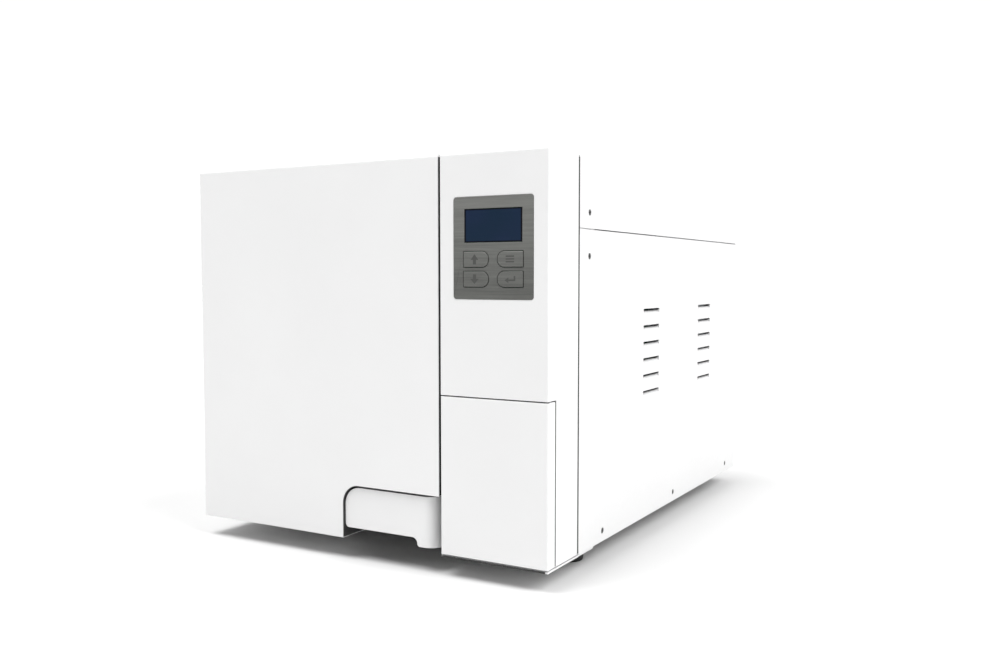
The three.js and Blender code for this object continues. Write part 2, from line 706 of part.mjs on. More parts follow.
// The board behind the plate: the display's body and one switch under each key.
function panelBoard() {
  const boardFront = 6.5;
  const pieces = [
    box(127, 200, boardFront, boardFront + 1.6, 285, 367),
    box(129, 198.5, 1.6, boardFront + 0.2, 328, 366),
  ];
  for (const { x, z } of KEYS) {
    pieces.push(box(x - 3, x + 3, 3 + KEY_TRAVEL_ROOM, boardFront + 0.2, z - 3, z + 3));
  }
  return join(...pieces);
}

add(controls, "control_bezel", controlBezel(), MATERIALS.whiteMoulding);
add(controls, "control_plate", controlPlate(), MATERIALS.brushedSteel);
add(
  controls,
  "display_lens",
  box(SCREEN.x0 + TOUCH, SCREEN.x1 - TOUCH, -0.1, 1, SCREEN.z0 + TOUCH, SCREEN.z1 - TOUCH),
  MATERIALS.darkScreen,
);
add(controls, "panel_board", panelBoard(), MATERIALS.circuitBoard);
for (const { name, x, z, side } of KEYS) {
  const cap = prismY(keyOutline(0, 0, side, 0), -KEY_PROUD, 3, 4);
  add(controls, name, cap, MATERIALS.brushedSteel, [x, 0, z]);
}

// ---------------------------------------------------------------- service bay and its door

// A tub behind the service door, with the fittings on its rear wall.
function serviceBay() {
  const { x0, x1, y0, back, z0, z1, wall } = BAY;
  const tub = cut(
    box(x0, x1, y0, back, z0, z1),
    box(x0 + wall, x1 - wall, y0 - 1, back - wall, z0 + wall, z1 - wall),
  );
  const { x, z, halfWidth, halfHeight } = ROCKER;
  const around = (grow, near, far) =>
    box(x - halfWidth - grow, x + halfWidth + grow, near, far, z - halfHeight - grow, z + halfHeight + grow);
  return cut(join(tub, around(2.8, back - 1, back + 12)), around(0.8, back - 5, back + 10));
}

// A rocker with a shallow V in front, about the X axis through the origin, stored in its off position.
function powerRocker() {
  const { halfWidth, halfHeight, offTilt } = ROCKER;
  const outline = polygon([
    [-4.5, -halfHeight],
    [2.5, -halfHeight + 2],
    [4.5, 0],
    [2.5, halfHeight - 2],
    [-4.5, halfHeight],
    [-2.5, 0],
  ]);
  const geometry = geometryOf(prismX(outline, -halfWidth, halfWidth));
  return solid(geometry.rotateX(offTilt));
}

// A hose coupling on the bay's rear wall, about the Y axis.
function drainPort() {
  const wallFace = BAY.back - BAY.wall - TOUCH;
  const profile = [
    [0, wallFace - 38],
    [4, wallFace - 38],
    [6, wallFace - 30],
    [4.5, wallFace - 30],
    [4.5, wallFace - 14],
    [10, wallFace - 14],
    [10, wallFace - 3],
    [13, wallFace - 3],
    [13, wallFace],
    [0, wallFace],
  ];
  return turnedY(0, 0, profile, 16);
}

function airFilter() {
  const wallFace = BAY.back - BAY.wall - TOUCH;
  const profile = [
    [0, wallFace - 58],
    [9, wallFace - 58],
    [9, wallFace - 50],
    [21, wallFace - 46],
    [21, wallFace - 18],
    [9, wallFace - 14],
    [9, wallFace],
    [0, wallFace],
  ];
  return turnedY(FILTER.x, FILTER.z, profile, 20);
}

// A shallow cover, open behind, with a pintle at the top and bottom of its left edge.
function serviceDoorCover() {
  const left = COLUMN_LEFT + 0.2;
  const outline = new THREE.Shape();
  const edge = 1; // rounding of the upright edge beside the hinge
  const leftReturn = 12.5;
  outline.moveTo(left + edge, 0);
  outline.lineTo(HALF_WIDTH, 0);
  outline.lineTo(HALF_WIDTH, SERVICE_DEPTH);
  outline.lineTo(left + 14, SERVICE_DEPTH);
  outline.lineTo(left + 12, leftReturn);
  outline.lineTo(left, leftReturn);
  outline.lineTo(left, edge);
  outline.absarc(left + edge, edge, edge, Math.PI, 1.5 * Math.PI);
  const block = prismZ(outline, FACE_BOTTOM, SERVICE_TOP, 3);
  const hollow = box(
    left + 2.2,
    HALF_WIDTH - SKIN,
    SKIN,
    SERVICE_DEPTH + 1,
    FACE_BOTTOM + SKIN,
    SERVICE_TOP - SKIN,
  );
  const pintles = [
    barZ(SERVICE_HINGE_X, SERVICE_HINGE_Y, 2, SERVICE_TOP - 1, SERVICE_TOP + 4, 12),
    barZ(SERVICE_HINGE_X, SERVICE_HINGE_Y, 2, PAN_BOTTOM + 0.4, FACE_BOTTOM + 1, 12),
  ];
  return join(cut(block, hollow), ...pintles);
}

add(chassis, "service_bay", serviceBay(), MATERIALS.blackMoulding);
const rocker = add(chassis, "power_rocker", powerRocker(), MATERIALS.blackMoulding);
rocker.position.set(ROCKER.x, BAY.back - BAY.wall, ROCKER.z);
const portShape = geometryOf(drainPort());
add(chassis, "drain_port_clean", portShape, MATERIALS.brass, [PORTS.xs[0], 0, PORTS.z]);
add(chassis, "drain_port_waste", portShape, MATERIALS.brass, [PORTS.xs[1], 0, PORTS.z]);
add(chassis, "air_filter", airFilter(), MATERIALS.silicone);
add(serviceDoor, "service_door", serviceDoorCover(), MATERIALS.whiteMoulding);

// ---------------------------------------------------------------- main door

// The outline of the handle recess in x and z, grown outwards by "grow".
function recessOutline(grow) {
  return roundedRect(RECESS_LEFT - grow, 10, 110, RECESS_TOP + grow, [0, 0, 0, RECESS_RADIUS + grow]);
}

// The moulded door cover: a shell open behind, with a walled handle recess and slots for the hinge lugs.
function doorCover() {
  const plan = roundedRect(-HALF_WIDTH, 0, DOOR_RIGHT, FACE_DEPTH, [0, 0, 0, HINGE_RADIUS]);
  const outer = prismX(faceProfile(0), -HALF_WIDTH, DOOR_RIGHT, 3).intersect(
    prismZ(plan, 0, HOUSING_TOP + 10, 4),
  );
  const inside = prismX(faceProfile(SKIN), -HALF_WIDTH + SKIN, DOOR_RIGHT - SKIN, 3);
  const recessWalls = prismY(recessOutline(SKIN), -1, RECESS_DEPTH + SKIN, 4);
  const recess = prismY(recessOutline(0), -2, RECESS_DEPTH, 4);
  const shaftHole = barZ(LEVER_X, LEVER_Y, 7.6, RECESS_TOP - 1, RECESS_TOP + SKIN + 1);
  const lugSlots = DOOR_LUGS_Z.map((z) =>
    box(-HALF_WIDTH - 1, -HALF_WIDTH + 20, HINGE_Y - 9, FACE_DEPTH + 1, z - 1, z + LUG_HEIGHT + 1),
  );
  return cut(outer, cut(inside, recessWalls), recess, shaftHole, ...lugSlots);
}

// The liner behind the door cover, open round the pressure plate and where the hooks pass.
function doorLiner() {
  const plate = box(-203, DOOR_RIGHT - SKIN - TOUCH, 62, 63.5, FACE_BOTTOM + SKIN + TOUCH, 415.2);
  const mouth = barY(CHAMBER_X, CHAMBER_Z, 138, 50, 70, ROUND);
  const hookSlots = HOOKS_Z.map((z) => box(28, 95, 50, 70, z - 3, z + HOOK_HEIGHT + 3));
  return cut(plate, mouth, ...hookSlots);
}

// The stiff plate that closes the chamber, with a hub in front where the beam carries it.
function pressurePlate() {
  const profile = [
    [0, 55],
    [24, 55],
    [24, 59],
    [126, 62],
    [134.5, 62],
    [134.5, 68],
    [118, 68],
    [100, 64],
    [0, 62],
  ];
  return turnedY(CHAMBER_X, CHAMBER_Z, profile, ROUND);
}

function doorBeam() {
  const beam = box(HINGE_X + 6.8, 38, 37, 54.6, 196, 244);
  return cut(beam, barY(CHAMBER_X, CHAMBER_Z, 8.6, 30, 60));
}

// The screw that sets how hard the plate presses: a hexagon head and a shank through the beam.
function pressureScrew() {
  return join(
    barY(CHAMBER_X, CHAMBER_Z, 15, 27, 36.7, 6),
    barY(CHAMBER_X, CHAMBER_Z, 8, 36, 54.7),
  );
}

// A post between the lugs, turned down at both ends to a pin.
function hingePost() {
  const [lowLug, highLug] = DOOR_LUGS_Z;
  const post = barZ(HINGE_X, HINGE_Y, 6.4, lowLug + LUG_HEIGHT + 0.5, highLug - 0.5);
  return join(post, barZ(HINGE_X, HINGE_Y, 4, lowLug - 3, highLug + LUG_HEIGHT + 3));
}

add(door, "door_cover", doorCover(), MATERIALS.whiteMoulding);
add(door, "door_liner", doorLiner(), MATERIALS.zincSteel);
add(door, "pressure_plate", pressurePlate(), MATERIALS.stainless);
add(door, "door_gasket", chamberRing(122, 133, 68.3, 72), MATERIALS.silicone);
add(door, "door_beam", doorBeam(), MATERIALS.zincSteel);
add(door, "pressure_screw", pressureScrew(), MATERIALS.zincSteel);
add(door, "hinge_post", hingePost(), MATERIALS.zincSteel);

// ---------------------------------------------------------------- door lever and latch

// A flat paddle that ends in an upright round hub. The hub reaches lower than the paddle.
function doorLever() {
  const paddleBottom = 33.5;
  const hubBottom = 24.5;
  const skirtLeft = LEVER_X - 8; // left edge of the part that reaches below the paddle
  const step = 6; // radius of the curve from the paddle's edge down to the hub's
  const outline = new THREE.Shape();
  outline.moveTo(LEVER_LEFT + 4.5, paddleBottom);
  outline.lineTo(skirtLeft - step, paddleBottom);
  outline.absarc(skirtLeft - step, paddleBottom - step, step, Math.PI / 2, 0, true);
  outline.lineTo(skirtLeft, hubBottom + 3);
  outline.absarc(skirtLeft + 3, hubBottom + 3, 3, Math.PI, 1.5 * Math.PI);
  outline.lineTo(LEVER_X, hubBottom);
  outline.lineTo(LEVER_X, LEVER_TOP);
  outline.lineTo(LEVER_LEFT + 18.5, LEVER_TOP);
  outline.absarc(LEVER_LEFT + 18.5, LEVER_TOP - 18.5, 18.5, Math.PI / 2, Math.PI);
  outline.lineTo(LEVER_LEFT, paddleBottom + 4.5);
  outline.absarc(LEVER_LEFT + 4.5, paddleBottom + 4.5, 4.5, Math.PI, 1.5 * Math.PI);
  const paddle = prismY(outline, LEVER_FACE, LEVER_FACE + 6, 4);
  const hub = barZ(LEVER_X, LEVER_Y, HUB_RADIUS, hubBottom, LEVER_TOP, ROUND);
  const besideSkirt = box(LEVER_X - 30, skirtLeft, 0, 50, hubBottom - 1, paddleBottom);
  return join(paddle, cut(hub, besideSkirt));
}

// The upright shaft under the hub, with two flat hooks welded to it. Each hook is an arm to the rear
// with a tip that turns to the right.
function latchShaft() {
  const shaft = barZ(LEVER_X, LEVER_Y, 7, LEVER_TOP + TOUCH, HOOKS_Z[1] + HOOK_HEIGHT + 10);
  const arm = polygon([
    [LEVER_X - 5, LEVER_Y],
    [LEVER_X + 5, LEVER_Y],
    [LEVER_X + 4, 79],
    [LEVER_X + 9, 81],
    [LEVER_X + 9, 84],
    [LEVER_X + 2, 88],
    [LEVER_X - 5, 86],
  ]);
  const hooks = HOOKS_Z.flatMap((z) => [
    prismZ(arm, z, z + HOOK_HEIGHT),
    barZ(LEVER_X, LEVER_Y, 12, z, z + HOOK_HEIGHT),
  ]);
  return join(shaft, ...hooks);
}

// The upright rail behind the front frame that the hooks catch on.
function strikerRail() {
  const rail = box(92, 106, 73, 78, 80, 364);
  const feet = [100, 215, 335].map((z) => box(97, 106, 69.8, 74, z, z + 20));
  return join(rail, ...feet);
}

add(lever, "door_lever", doorLever(), MATERIALS.whiteMoulding);
add(lever, "latch_shaft", latchShaft(), MATERIALS.zincSteel);
add(chassis, "striker_rail", strikerRail(), MATERIALS.zincSteel);

// ---------------------------------------------------------------- filler lid

// A flat lid whose rear edge is a hinge barrel.
function fillerLid() {
  const top = LID.z0 + LID.thickness;
  const barrel = LID.thickness / 2;
  const side = new THREE.Shape();
  side.moveTo(LID.y0, LID.z0);
  side.lineTo(LID.hingeY, LID.z0);
  side.absarc(LID.hingeY, LID.z0 + barrel, barrel, -Math.PI / 2, Math.PI / 2);
  side.lineTo(LID.y0 + 3, top);
  side.absarc(LID.y0 + 3, top - 3, 3, Math.PI / 2, Math.PI);
  const slab = prismX(side, LID.x0, LID.x1, 4);
  const plan = roundedRect(LID.x0, LID.y0, LID.x1, LID.hingeY + barrel + 1, [8, 8, 0, 0]);
  return slab.intersect(prismZ(plan, 400, 440, 3));
}

add(tankLid, "filler_lid", fillerLid(), MATERIALS.whiteMoulding);

const autoclave = new THREE.Group();
autoclave.add(assembly);

export default autoclave;
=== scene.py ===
"""The looks of a benchtop steam steriliser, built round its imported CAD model.

Lengths are in millimetres until a mesh is made. x is the user's right, d is the depth behind the door's
front plane and z is the height above the bench, so that a point in the row frame is (x, d + FRONT, z).
"""

import json
import math

import bmesh
import bpy
from mathutils import Matrix, Vector


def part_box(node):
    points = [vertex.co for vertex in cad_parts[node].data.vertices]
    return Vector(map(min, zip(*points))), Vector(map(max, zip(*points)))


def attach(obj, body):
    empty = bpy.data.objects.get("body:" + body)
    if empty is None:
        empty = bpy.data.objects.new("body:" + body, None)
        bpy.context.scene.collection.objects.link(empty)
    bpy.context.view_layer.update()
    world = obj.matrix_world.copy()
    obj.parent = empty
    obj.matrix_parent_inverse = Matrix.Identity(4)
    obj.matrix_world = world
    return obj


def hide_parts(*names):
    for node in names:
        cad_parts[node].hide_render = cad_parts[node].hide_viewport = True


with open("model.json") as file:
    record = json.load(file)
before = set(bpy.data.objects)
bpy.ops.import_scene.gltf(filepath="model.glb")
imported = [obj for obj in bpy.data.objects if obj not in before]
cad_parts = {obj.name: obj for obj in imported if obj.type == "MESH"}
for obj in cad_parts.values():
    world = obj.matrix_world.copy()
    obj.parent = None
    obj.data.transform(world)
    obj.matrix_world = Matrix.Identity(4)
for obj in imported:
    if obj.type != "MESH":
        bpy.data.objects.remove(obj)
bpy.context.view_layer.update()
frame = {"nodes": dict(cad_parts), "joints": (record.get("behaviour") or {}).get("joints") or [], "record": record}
scene = bpy.context.scene

MM = 0.001
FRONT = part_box("door_cover")[0].y / MM


def extent(node):
    """A node's x0, x1, d0, d1, z0 and z1, in mm."""
    (x0, d0, z0), (x1, d1, z1) = ([c / MM for c in corner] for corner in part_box(node))
    return x0, x1, d0 - FRONT, d1 - FRONT, z0, z1


def middle(node):
    x0, x1, d0, d1, z0, z1 = extent(node)
    return (x0 + x1) / 2, (d0 + d1) / 2, (z0 + z1) / 2


def axis_through(node):
    """A point at d = 0 on the line that runs from front to back through a node's middle."""
    x, _, z = middle(node)
    return x, 0, z


def joint_at(name):
    joint = next(j for j in frame["joints"] if j["name"] == name)
    x, y, z = (c / MM for c in joint["pos_m"])
    return x, y - FRONT, z


# ---------------------------------------------------------------- materials


def fill(node, **values):
    """Sets a node's inputs by name, with an underscore for a space."""
    for key, value in values.items():
        node.inputs[key.replace("_", " ")].default_value = value


class Nodes:
    """A material's node tree, with short ways to make what every material here needs."""

    def __init__(self):
        self.material = bpy.data.materials.new("material")
        self.material.use_nodes = True
        self.tree = self.material.node_tree
        self.shader = self.tree.nodes["Principled BSDF"]
        self.coords = self.tree.nodes.new("ShaderNodeTexCoord").outputs["Object"]

    def link(self, a, b):
        self.tree.links.new(a, b)

    def set(self, **values):
        fill(self.shader, **values)
        return self

    def noise(self, scale, stretch=(1, 1, 1), detail=3.0, roughness=0.5, distortion=0.0):
        mapping = self.tree.nodes.new("ShaderNodeMapping")
        fill(mapping, Scale=stretch)
        self.link(self.coords, mapping.inputs["Vector"])
        noise = self.tree.nodes.new("ShaderNodeTexNoise")
        fill(noise, Scale=scale, Detail=detail, Roughness=roughness, Distortion=distortion)
        self.link(mapping.outputs["Vector"], noise.inputs["Vector"])
        return noise.outputs["Fac"]

    def ramp(self, factor, stops):
        ramp = self.tree.nodes.new("ShaderNodeValToRGB")
        elements = ramp.color_ramp.elements
        while len(elements) < len(stops):
            elements.new(0.5)
        for element, (place, colour) in zip(elements, stops):
            element.position = place
            element.color = (*colour, 1) if len(colour) == 3 else colour
        self.link(factor, ramp.inputs["Fac"])
        return ramp.outputs["Color"]

    def spread(self, factor, low, high, start=0.3, end=0.7):
        span = self.tree.nodes.new("ShaderNodeMapRange")
        fill(span, From_Min=start, From_Max=end, To_Min=low, To_Max=high)
        self.link(factor, span.inputs["Value"])
        return span.outputs["Result"]

    def maths(self, operation, a, b):
        node = self.tree.nodes.new("ShaderNodeMath")
        node.operation = operation
        for socket, value in zip(node.inputs, (a, b)):
            if isinstance(value, (int, float)):
                socket.default_value = value
            else:
                self.link(value, socket)
        return node.outputs["Value"]

    def colour(self, output):
        self.link(output, self.shader.inputs["Base Color"])
        return self

    def roughness(self, output):
        self.link(output, self.shader.inputs["Roughness"])
        return self

    def bump(self, *layers):
        """Layers of (height output, distance in mm), one on top of the other."""
        normal = None
        for height, distance in layers:
            bump = self.tree.nodes.new("ShaderNodeBump")
            fill(bump, Strength=1.0, Distance=distance * MM)
            self.link(height, bump.inputs["Height"])
            if normal is not None:
                self.link(normal, bump.inputs["Normal"])
            normal = bump.outputs["Normal"]
        self.link(normal, self.shader.inputs["Normal"])
        return self


def tinted(colour, amount):
    return tuple(min(1.0, c * amount) for c in colour)


def moulded(colour, low=0.36, high=0.46, grain=0.012, coat=0.0):
    """Moulded plastic: a fine spark-eroded grain, slow changes of gloss and a faint change of tint."""
    n = Nodes()
    n.set(IOR=1.49, Coat_Weight=coat, Coat_Roughness=0.1)
    n.colour(n.ramp(n.noise(9, detail=2), [(0.35, tinted(colour, 0.985)), (0.65, colour)]))
    n.roughness(n.spread(n.noise(60, detail=4), low, high))
    n.bump((n.noise(2600, detail=2), grain), (n.noise(25, detail=1), grain * 4))
    return n.material


def powder(colour):
    """Powder coat on sheet steel: orange peel over a slight waviness of the sheet."""
    n = Nodes()
    n.set(IOR=1.5)
    n.colour(n.ramp(n.noise(12, detail=2), [(0.3, tinted(colour, 0.985)), (0.7, colour)]))
    n.roughness(n.spread(n.noise(140, detail=4), 0.4, 0.52))
    n.bump((n.noise(900, detail=2), 0.02), (n.noise(4, detail=1), 0.35))
    return n.material


def brushed(dark, light, stretch, scale=60, low=0.25, high=0.42, metal=1.0, depth=0.012):
    """Metal brushed along the axis on which the pattern is stretched."""
    n = Nodes()
    n.set(Metallic=metal)
    fine = n.noise(scale * 14, stretch, detail=4, roughness=0.65)
    broad = n.noise(scale, stretch, detail=5, roughness=0.6)
    mixed = n.maths("ADD", n.maths("MULTIPLY", fine, 0.55), n.maths("MULTIPLY", broad, 0.45))
    n.colour(n.ramp(mixed, [(0.36, dark), (0.64, light)]))
    n.roughness(n.spread(fine, low, high))
    n.bump((fine, depth))
    return n.material


def cast(colour, low=0.5, high=0.7, grain=0.06):
    n = Nodes()
    n.set(Metallic=0.7)
    n.colour(n.ramp(n.noise(120, detail=5), [(0.35, tinted(colour, 0.75)), (0.65, tinted(colour, 1.15))]))
    n.roughness(n.spread(n.noise(300, detail=3), low, high))
    n.bump((n.noise(1400, detail=3), grain))
    return n.material


def rubber(colour, grain=0.03):
    n = Nodes()
    n.set(IOR=1.52)
    n.colour(n.ramp(n.noise(180, detail=4), [(0.35, tinted(colour, 0.8)), (0.7, tinted(colour, 1.5))]))
    n.roughness(n.spread(n.noise(90, detail=3), 0.62, 0.82))
    n.bump((n.noise(1800, detail=3), grain))
    return n.material


def panel_steel(centre):
    """The control panel's grey film: brushed across, streaked and scuffed, and darker towards the bottom by
    painted shade.
    """
    n = Nodes()
    n.set(Metallic=0.35, Specular_IOR_Level=0.4)
    fine = n.noise(420, (0.05, 1, 3.2), detail=5, roughness=0.7)
    streak = n.noise(70, (0.07, 1, 2.4), detail=4, roughness=0.6, distortion=0.6)
    split = n.tree.nodes.new("ShaderNodeSeparateXYZ")
    n.link(n.coords, split.inputs["Vector"])
    # painted shade: the height term darkens the film from the top of the plate to its bottom
    height = n.spread(split.outputs["Z"], 0.0, 1.0, centre[0], centre[1])
    mixed = n.maths("ADD", n.maths("MULTIPLY", fine, 0.5), n.maths("MULTIPLY", streak, 0.5))
    shade = n.maths("ADD", n.maths("MULTIPLY", mixed, 0.8), n.maths("MULTIPLY", height, 0.2))
    stops = [(0.3, (0.088, 0.09, 0.084)), (0.5, (0.152, 0.155, 0.146)), (0.72, (0.222, 0.226, 0.214))]
    n.colour(n.ramp(shade, stops))
    n.roughness(n.spread(fine, 0.42, 0.6))
    n.bump((fine, 0.015), (streak, 0.02))
    return n.material


DOTS_PER_METRE = 2200


def display_glass(box):
    """A dark window: a black printed border round a dark blue liquid-crystal cell with its faint grid."""
    x0, x1, z0, z1 = (v * MM for v in box)
    n = Nodes()
    n.set(Roughness=0.2, IOR=1.5, Specular_IOR_Level=0.1)
    split = n.tree.nodes.new("ShaderNodeSeparateXYZ")
    n.link(n.coords, split.inputs["Vector"])
    cell, dots = [], []
    for key, low, high, border in (("X", x0, x1, 1.4 * MM), ("Z", z0, z1, 1.2 * MM)):
        place = split.outputs[key]
        offset = n.maths("ABSOLUTE", n.maths("SUBTRACT", place, (low + high) / 2), 0)
        cell.append(n.maths("LESS_THAN", offset, (high - low) / 2 - border))
        within_dot = n.maths("FRACT", n.maths("MULTIPLY", place, DOTS_PER_METRE), 0)
        dots.append(n.maths("LESS_THAN", within_dot, 0.86))
    inside = n.maths("MULTIPLY", *cell)
    grid = n.spread(n.maths("MULTIPLY", *dots), 0.9, 1.0, 0, 1)
    cloud = n.ramp(n.noise(35, detail=1), [(0.35, (0.009, 0.022, 0.046)), (0.65, (0.012, 0.023, 0.055))])
    shade = n.tree.nodes.new("ShaderNodeVectorMath")
    shade.operation = "SCALE"
    n.link(cloud, shade.inputs[0])
    n.link(grid, shade.inputs["Scale"])
    mix = n.tree.nodes.new("ShaderNodeMix")
    mix.data_type = "RGBA"
    n.link(inside, mix.inputs[0])
    mix.inputs[6].default_value = (0.005, 0.006, 0.010, 1)
    n.link(shade.outputs["Vector"], mix.inputs[7])
    n.colour(mix.outputs[2])
    return n.material


def circuit():
    n = Nodes()
    n.set(Roughness=0.4, Specular_IOR_Level=0.6)
    cells = n.tree.nodes.new("ShaderNodeTexVoronoi")
    fill(cells, Scale=260)
    cells.distance = "MANHATTAN"
    n.link(n.coords, cells.inputs["Vector"])
    stops = [(0.1, (0.35, 0.33, 0.2)), (0.16, (0.02, 0.16, 0.07)), (0.8, (0.01, 0.09, 0.04))]
    n.colour(n.ramp(cells.outputs["Distance"], stops))
    n.bump((cells.outputs["Distance"], 0.05))
    return n.material


def felt():
    n = Nodes()
    n.set(Sheen_Weight=0.4, Roughness=0.95)
    fibres = n.noise(700, (1, 0.25, 1), detail=6, roughness=0.75, distortion=1.5)
    n.colour(n.ramp(fibres, [(0.3, (0.42, 0.38, 0.27)), (0.7, (0.78, 0.73, 0.6))]))
    n.bump((fibres, 0.5))
    return n.material


def translucent():
    n = Nodes()
    n.set(IOR=1.5, Transmission_Weight=0.25, Subsurface_Weight=0.2, Subsurface_Radius=(0.004,) * 3)
    n.colour(n.ramp(n.noise(30, detail=2), [(0.3, (0.72, 0.76, 0.78)), (0.7, (0.8, 0.84, 0.86))]))
    n.roughness(n.spread(n.noise(120, detail=3), 0.32, 0.5))
    n.bump((n.noise(700, detail=2), 0.03))
    return n.material


def grey_floor():
    n = Nodes()
    n.set(Specular_IOR_Level=0.15, Roughness=0.9)
    n.colour(n.ramp(n.noise(3, detail=2), [(0.3, (0.665, 0.665, 0.665)), (0.7, (0.675, 0.675, 0.675))]))
    return n.material


PX0, PX1, PD0, PD1, PZ0, PZ1 = extent("control_plate")
SX0, SX1, SD0, SD1, SZ0, SZ1 = extent("display_lens")
WHITE = (0.8, 0.8, 0.8)
MAT = {
    "white_moulding": moulded(WHITE),
    "white_paint": powder((0.76, 0.76, 0.76)),
    "foot_rubber": rubber((0.018, 0.018, 0.018)),
    "zinc_steel": brushed((0.42, 0.43, 0.44), (0.62, 0.63, 0.64), (1, 1, 0.2), 30, 0.32, 0.5),
    "stainless_steel": brushed(
        (0.55, 0.56, 0.56), (0.66, 0.67, 0.67), (0.04, 1, 1), 40, 0.28, 0.34, depth=0.0007
    ),
    "cast_metal": cast((0.38, 0.39, 0.4)),
    "insulation_felt": felt(),
    "tank_moulding": translucent(),
    "black_moulding": moulded((0.022, 0.022, 0.023), 0.45, 0.6, 0.03),
    "circuit_board": circuit(),
    "brass": brushed((0.5, 0.34, 0.12), (0.7, 0.5, 0.2), (1, 0.3, 1), 60, 0.25, 0.4),
    "brushed_plate": panel_steel((PZ0 * MM, PZ1 * MM)),
    "key_film": panel_steel((PZ0 * MM, PZ1 * MM)),
    "display_window": display_glass((SX0, SX1, SZ0, SZ1)),
    "filter_moulding": moulded((0.72, 0.69, 0.6), 0.4, 0.55),
    "silicone_seal": moulded((0.62, 0.585, 0.5), 0.5, 0.62, 0.006),
    "dark_screw": brushed((0.1, 0.1, 0.1), (0.2, 0.2, 0.2), (1, 1, 1), 120, 0.3, 0.5),
    "key_ink": moulded((0.06, 0.06, 0.057), 0.5, 0.6),
    "white_ink": moulded((0.75, 0.75, 0.75), 0.5, 0.6),
    # painted shade: the dark sheet lining the handle recess
    "painted_shade_lining": moulded((0.045, 0.045, 0.045), 0.55, 0.7, 0.03),
    # painted shade: the black of the strips set in the gaps round the column, the flap and the door
    "painted_shade_black": rubber((0.03, 0.03, 0.03), 0.08),
    "red_moulding": moulded((0.45, 0.02, 0.015), 0.3, 0.4),
    "blue_moulding": moulded((0.02, 0.09, 0.3), 0.3, 0.4),
    "floor": grey_floor(),
}
for name, material in MAT.items():
    material.name = name

# ---------------------------------------------------------------- solids

SHARP_ANGLE = 35  # edges at least this steep, in degrees, are shaded as sharp
ROUNDED_ANGLE = 32  # edges at least this steep may be given a radius


def arc(cu, cv, radius, start, end, steps=10):
    """Points on an arc, its angles in degrees."""
    angles = [math.radians(start + (end - start) * i / steps) for i in range(steps + 1)]
    return [(cu + radius * math.cos(a), cv + radius * math.sin(a)) for a in angles]


def rounded(u0, v0, u1, v1, radii, steps=10):
    """A rectangle with a radius at each corner: lower left, lower right, upper right, upper left."""
    a, b, c, d = radii if isinstance(radii, (list, tuple)) else (radii,) * 4
    corners = (
        (u1 - b, v0 + b, b, -90),
        (u1 - c, v1 - c, c, 0),
        (u0 + d, v1 - d, d, 90),
        (u0 + a, v0 + a, a, 180),
    )
    points = []
    for cu, cv, radius, start in corners:
        points += arc(cu, cv, radius, start, start + 90, steps) if radius else [(cu, cv)]
    return points


def placed(mesh):
    """A new object in the scene with this mesh."""
    obj = bpy.data.objects.new("solid", mesh)
    scene.collection.objects.link(obj)
    return obj


def drop(obj):
    mesh = obj.data
    bpy.data.objects.remove(obj)
    bpy.data.meshes.remove(mesh)


def object_of(bm):
    mesh = bpy.data.meshes.new("solid")
    bm.to_mesh(mesh)
    bm.free()
    return placed(mesh)


def solid_of(bm):
    """The same, with doubled points merged and all faces turned outwards."""
    bmesh.ops.remove_doubles(bm, verts=bm.verts, dist=1e-4)
    bmesh.ops.recalc_face_normals(bm, faces=bm.faces)
    return object_of(bm)


def prism(outline, axis, low, high):
    """An outline run along an axis from low to high.

    Along x the outline's points are (d, z), along d they are (x, z) and along z they are (x, d).
    """
    place = {
        "x": lambda u, v, w: (w, u, v),
        "d": lambda u, v, w: (u, w, v),
        "z": lambda u, v, w: (u, v, w),
    }[axis]
    bm = bmesh.new()
    near = [bm.verts.new(place(u, v, low)) for u, v in outline]
    far = [bm.verts.new(place(u, v, high)) for u, v in outline]
    bm.faces.new(near)
    bm.faces.new(far)
    for i in range(len(near)):
        j = (i + 1) % len(near)
        bm.faces.new((near[i], near[j], far[j], far[i]))
    return solid_of(bm)


def block(x0, x1, d0, d1, z0, z1):
    return prism([(x0, d0), (x1, d0), (x1, d1), (x0, d1)], "z", z0, z1)


def turned(profile, axis, centre, steps=96, closed=True):
    """A profile of (radius, distance along the axis) turned about the axis through centre."""
    cx, cd, cz = centre
    bm = bmesh.new()
    rings = []
    for radius, along in profile:
        ring = []
        count = 1 if radius < 1e-6 else steps
        for i in range(count):
            a = 2 * math.pi * i / steps
            u, v = radius * math.cos(a), radius * math.sin(a)
            point = {"x": (along, u, v), "d": (u, along, v), "z": (u, v, along)}[axis]
            ring.append(bm.verts.new((point[0] + cx, point[1] + cd, point[2] + cz)))
        rings.append(ring)
    pairs = list(zip(rings, rings[1:]))
    if closed and profile[0][0] > 1e-6 and profile[-1][0] > 1e-6:
        pairs.append((rings[-1], rings[0]))
    for a, b in pairs:
        for i in range(steps):
            j = (i + 1) % steps
            quad = [a[i % len(a)], a[j % len(a)], b[j % len(b)], b[i % len(b)]]
            unique = list(dict.fromkeys(quad))
            if len(unique) > 2:
                bm.faces.new(unique)
    return solid_of(bm)


def bar(axis, centre, radius, low, high, steps=48):
    return turned([(0, low), (radius, low), (radius, high), (0, high)], axis, centre, steps)


def baked(obj):
    """Takes the modifiers' result as the object's own mesh."""
    graph = bpy.context.evaluated_depsgraph_get()
    mesh = bpy.data.meshes.new_from_object(obj.evaluated_get(graph))
    obj.modifiers.clear()
    old, obj.data = obj.data, mesh
    bpy.data.meshes.remove(old)
    return obj


def combine(operation, first, others):
    for other in others:
        boolean = first.modifiers.new("boolean", "BOOLEAN")
        boolean.operation = operation
        boolean.solver = "EXACT"
        boolean.object = other
    baked(first)
    for other in others:
        drop(other)
    return first


def cut(first, *others):
    return combine("DIFFERENCE", first, others)


def fuse(first, *others):
    return combine("UNION", first, others)


def common(first, *others):
    return combine("INTERSECT", first, others)


def gathered(*parts):
    """Several solids as one object, without merging them."""
    bm = bmesh.new()
    for part in parts:
        bm.from_mesh(part.data)
        drop(part)
    return object_of(bm)


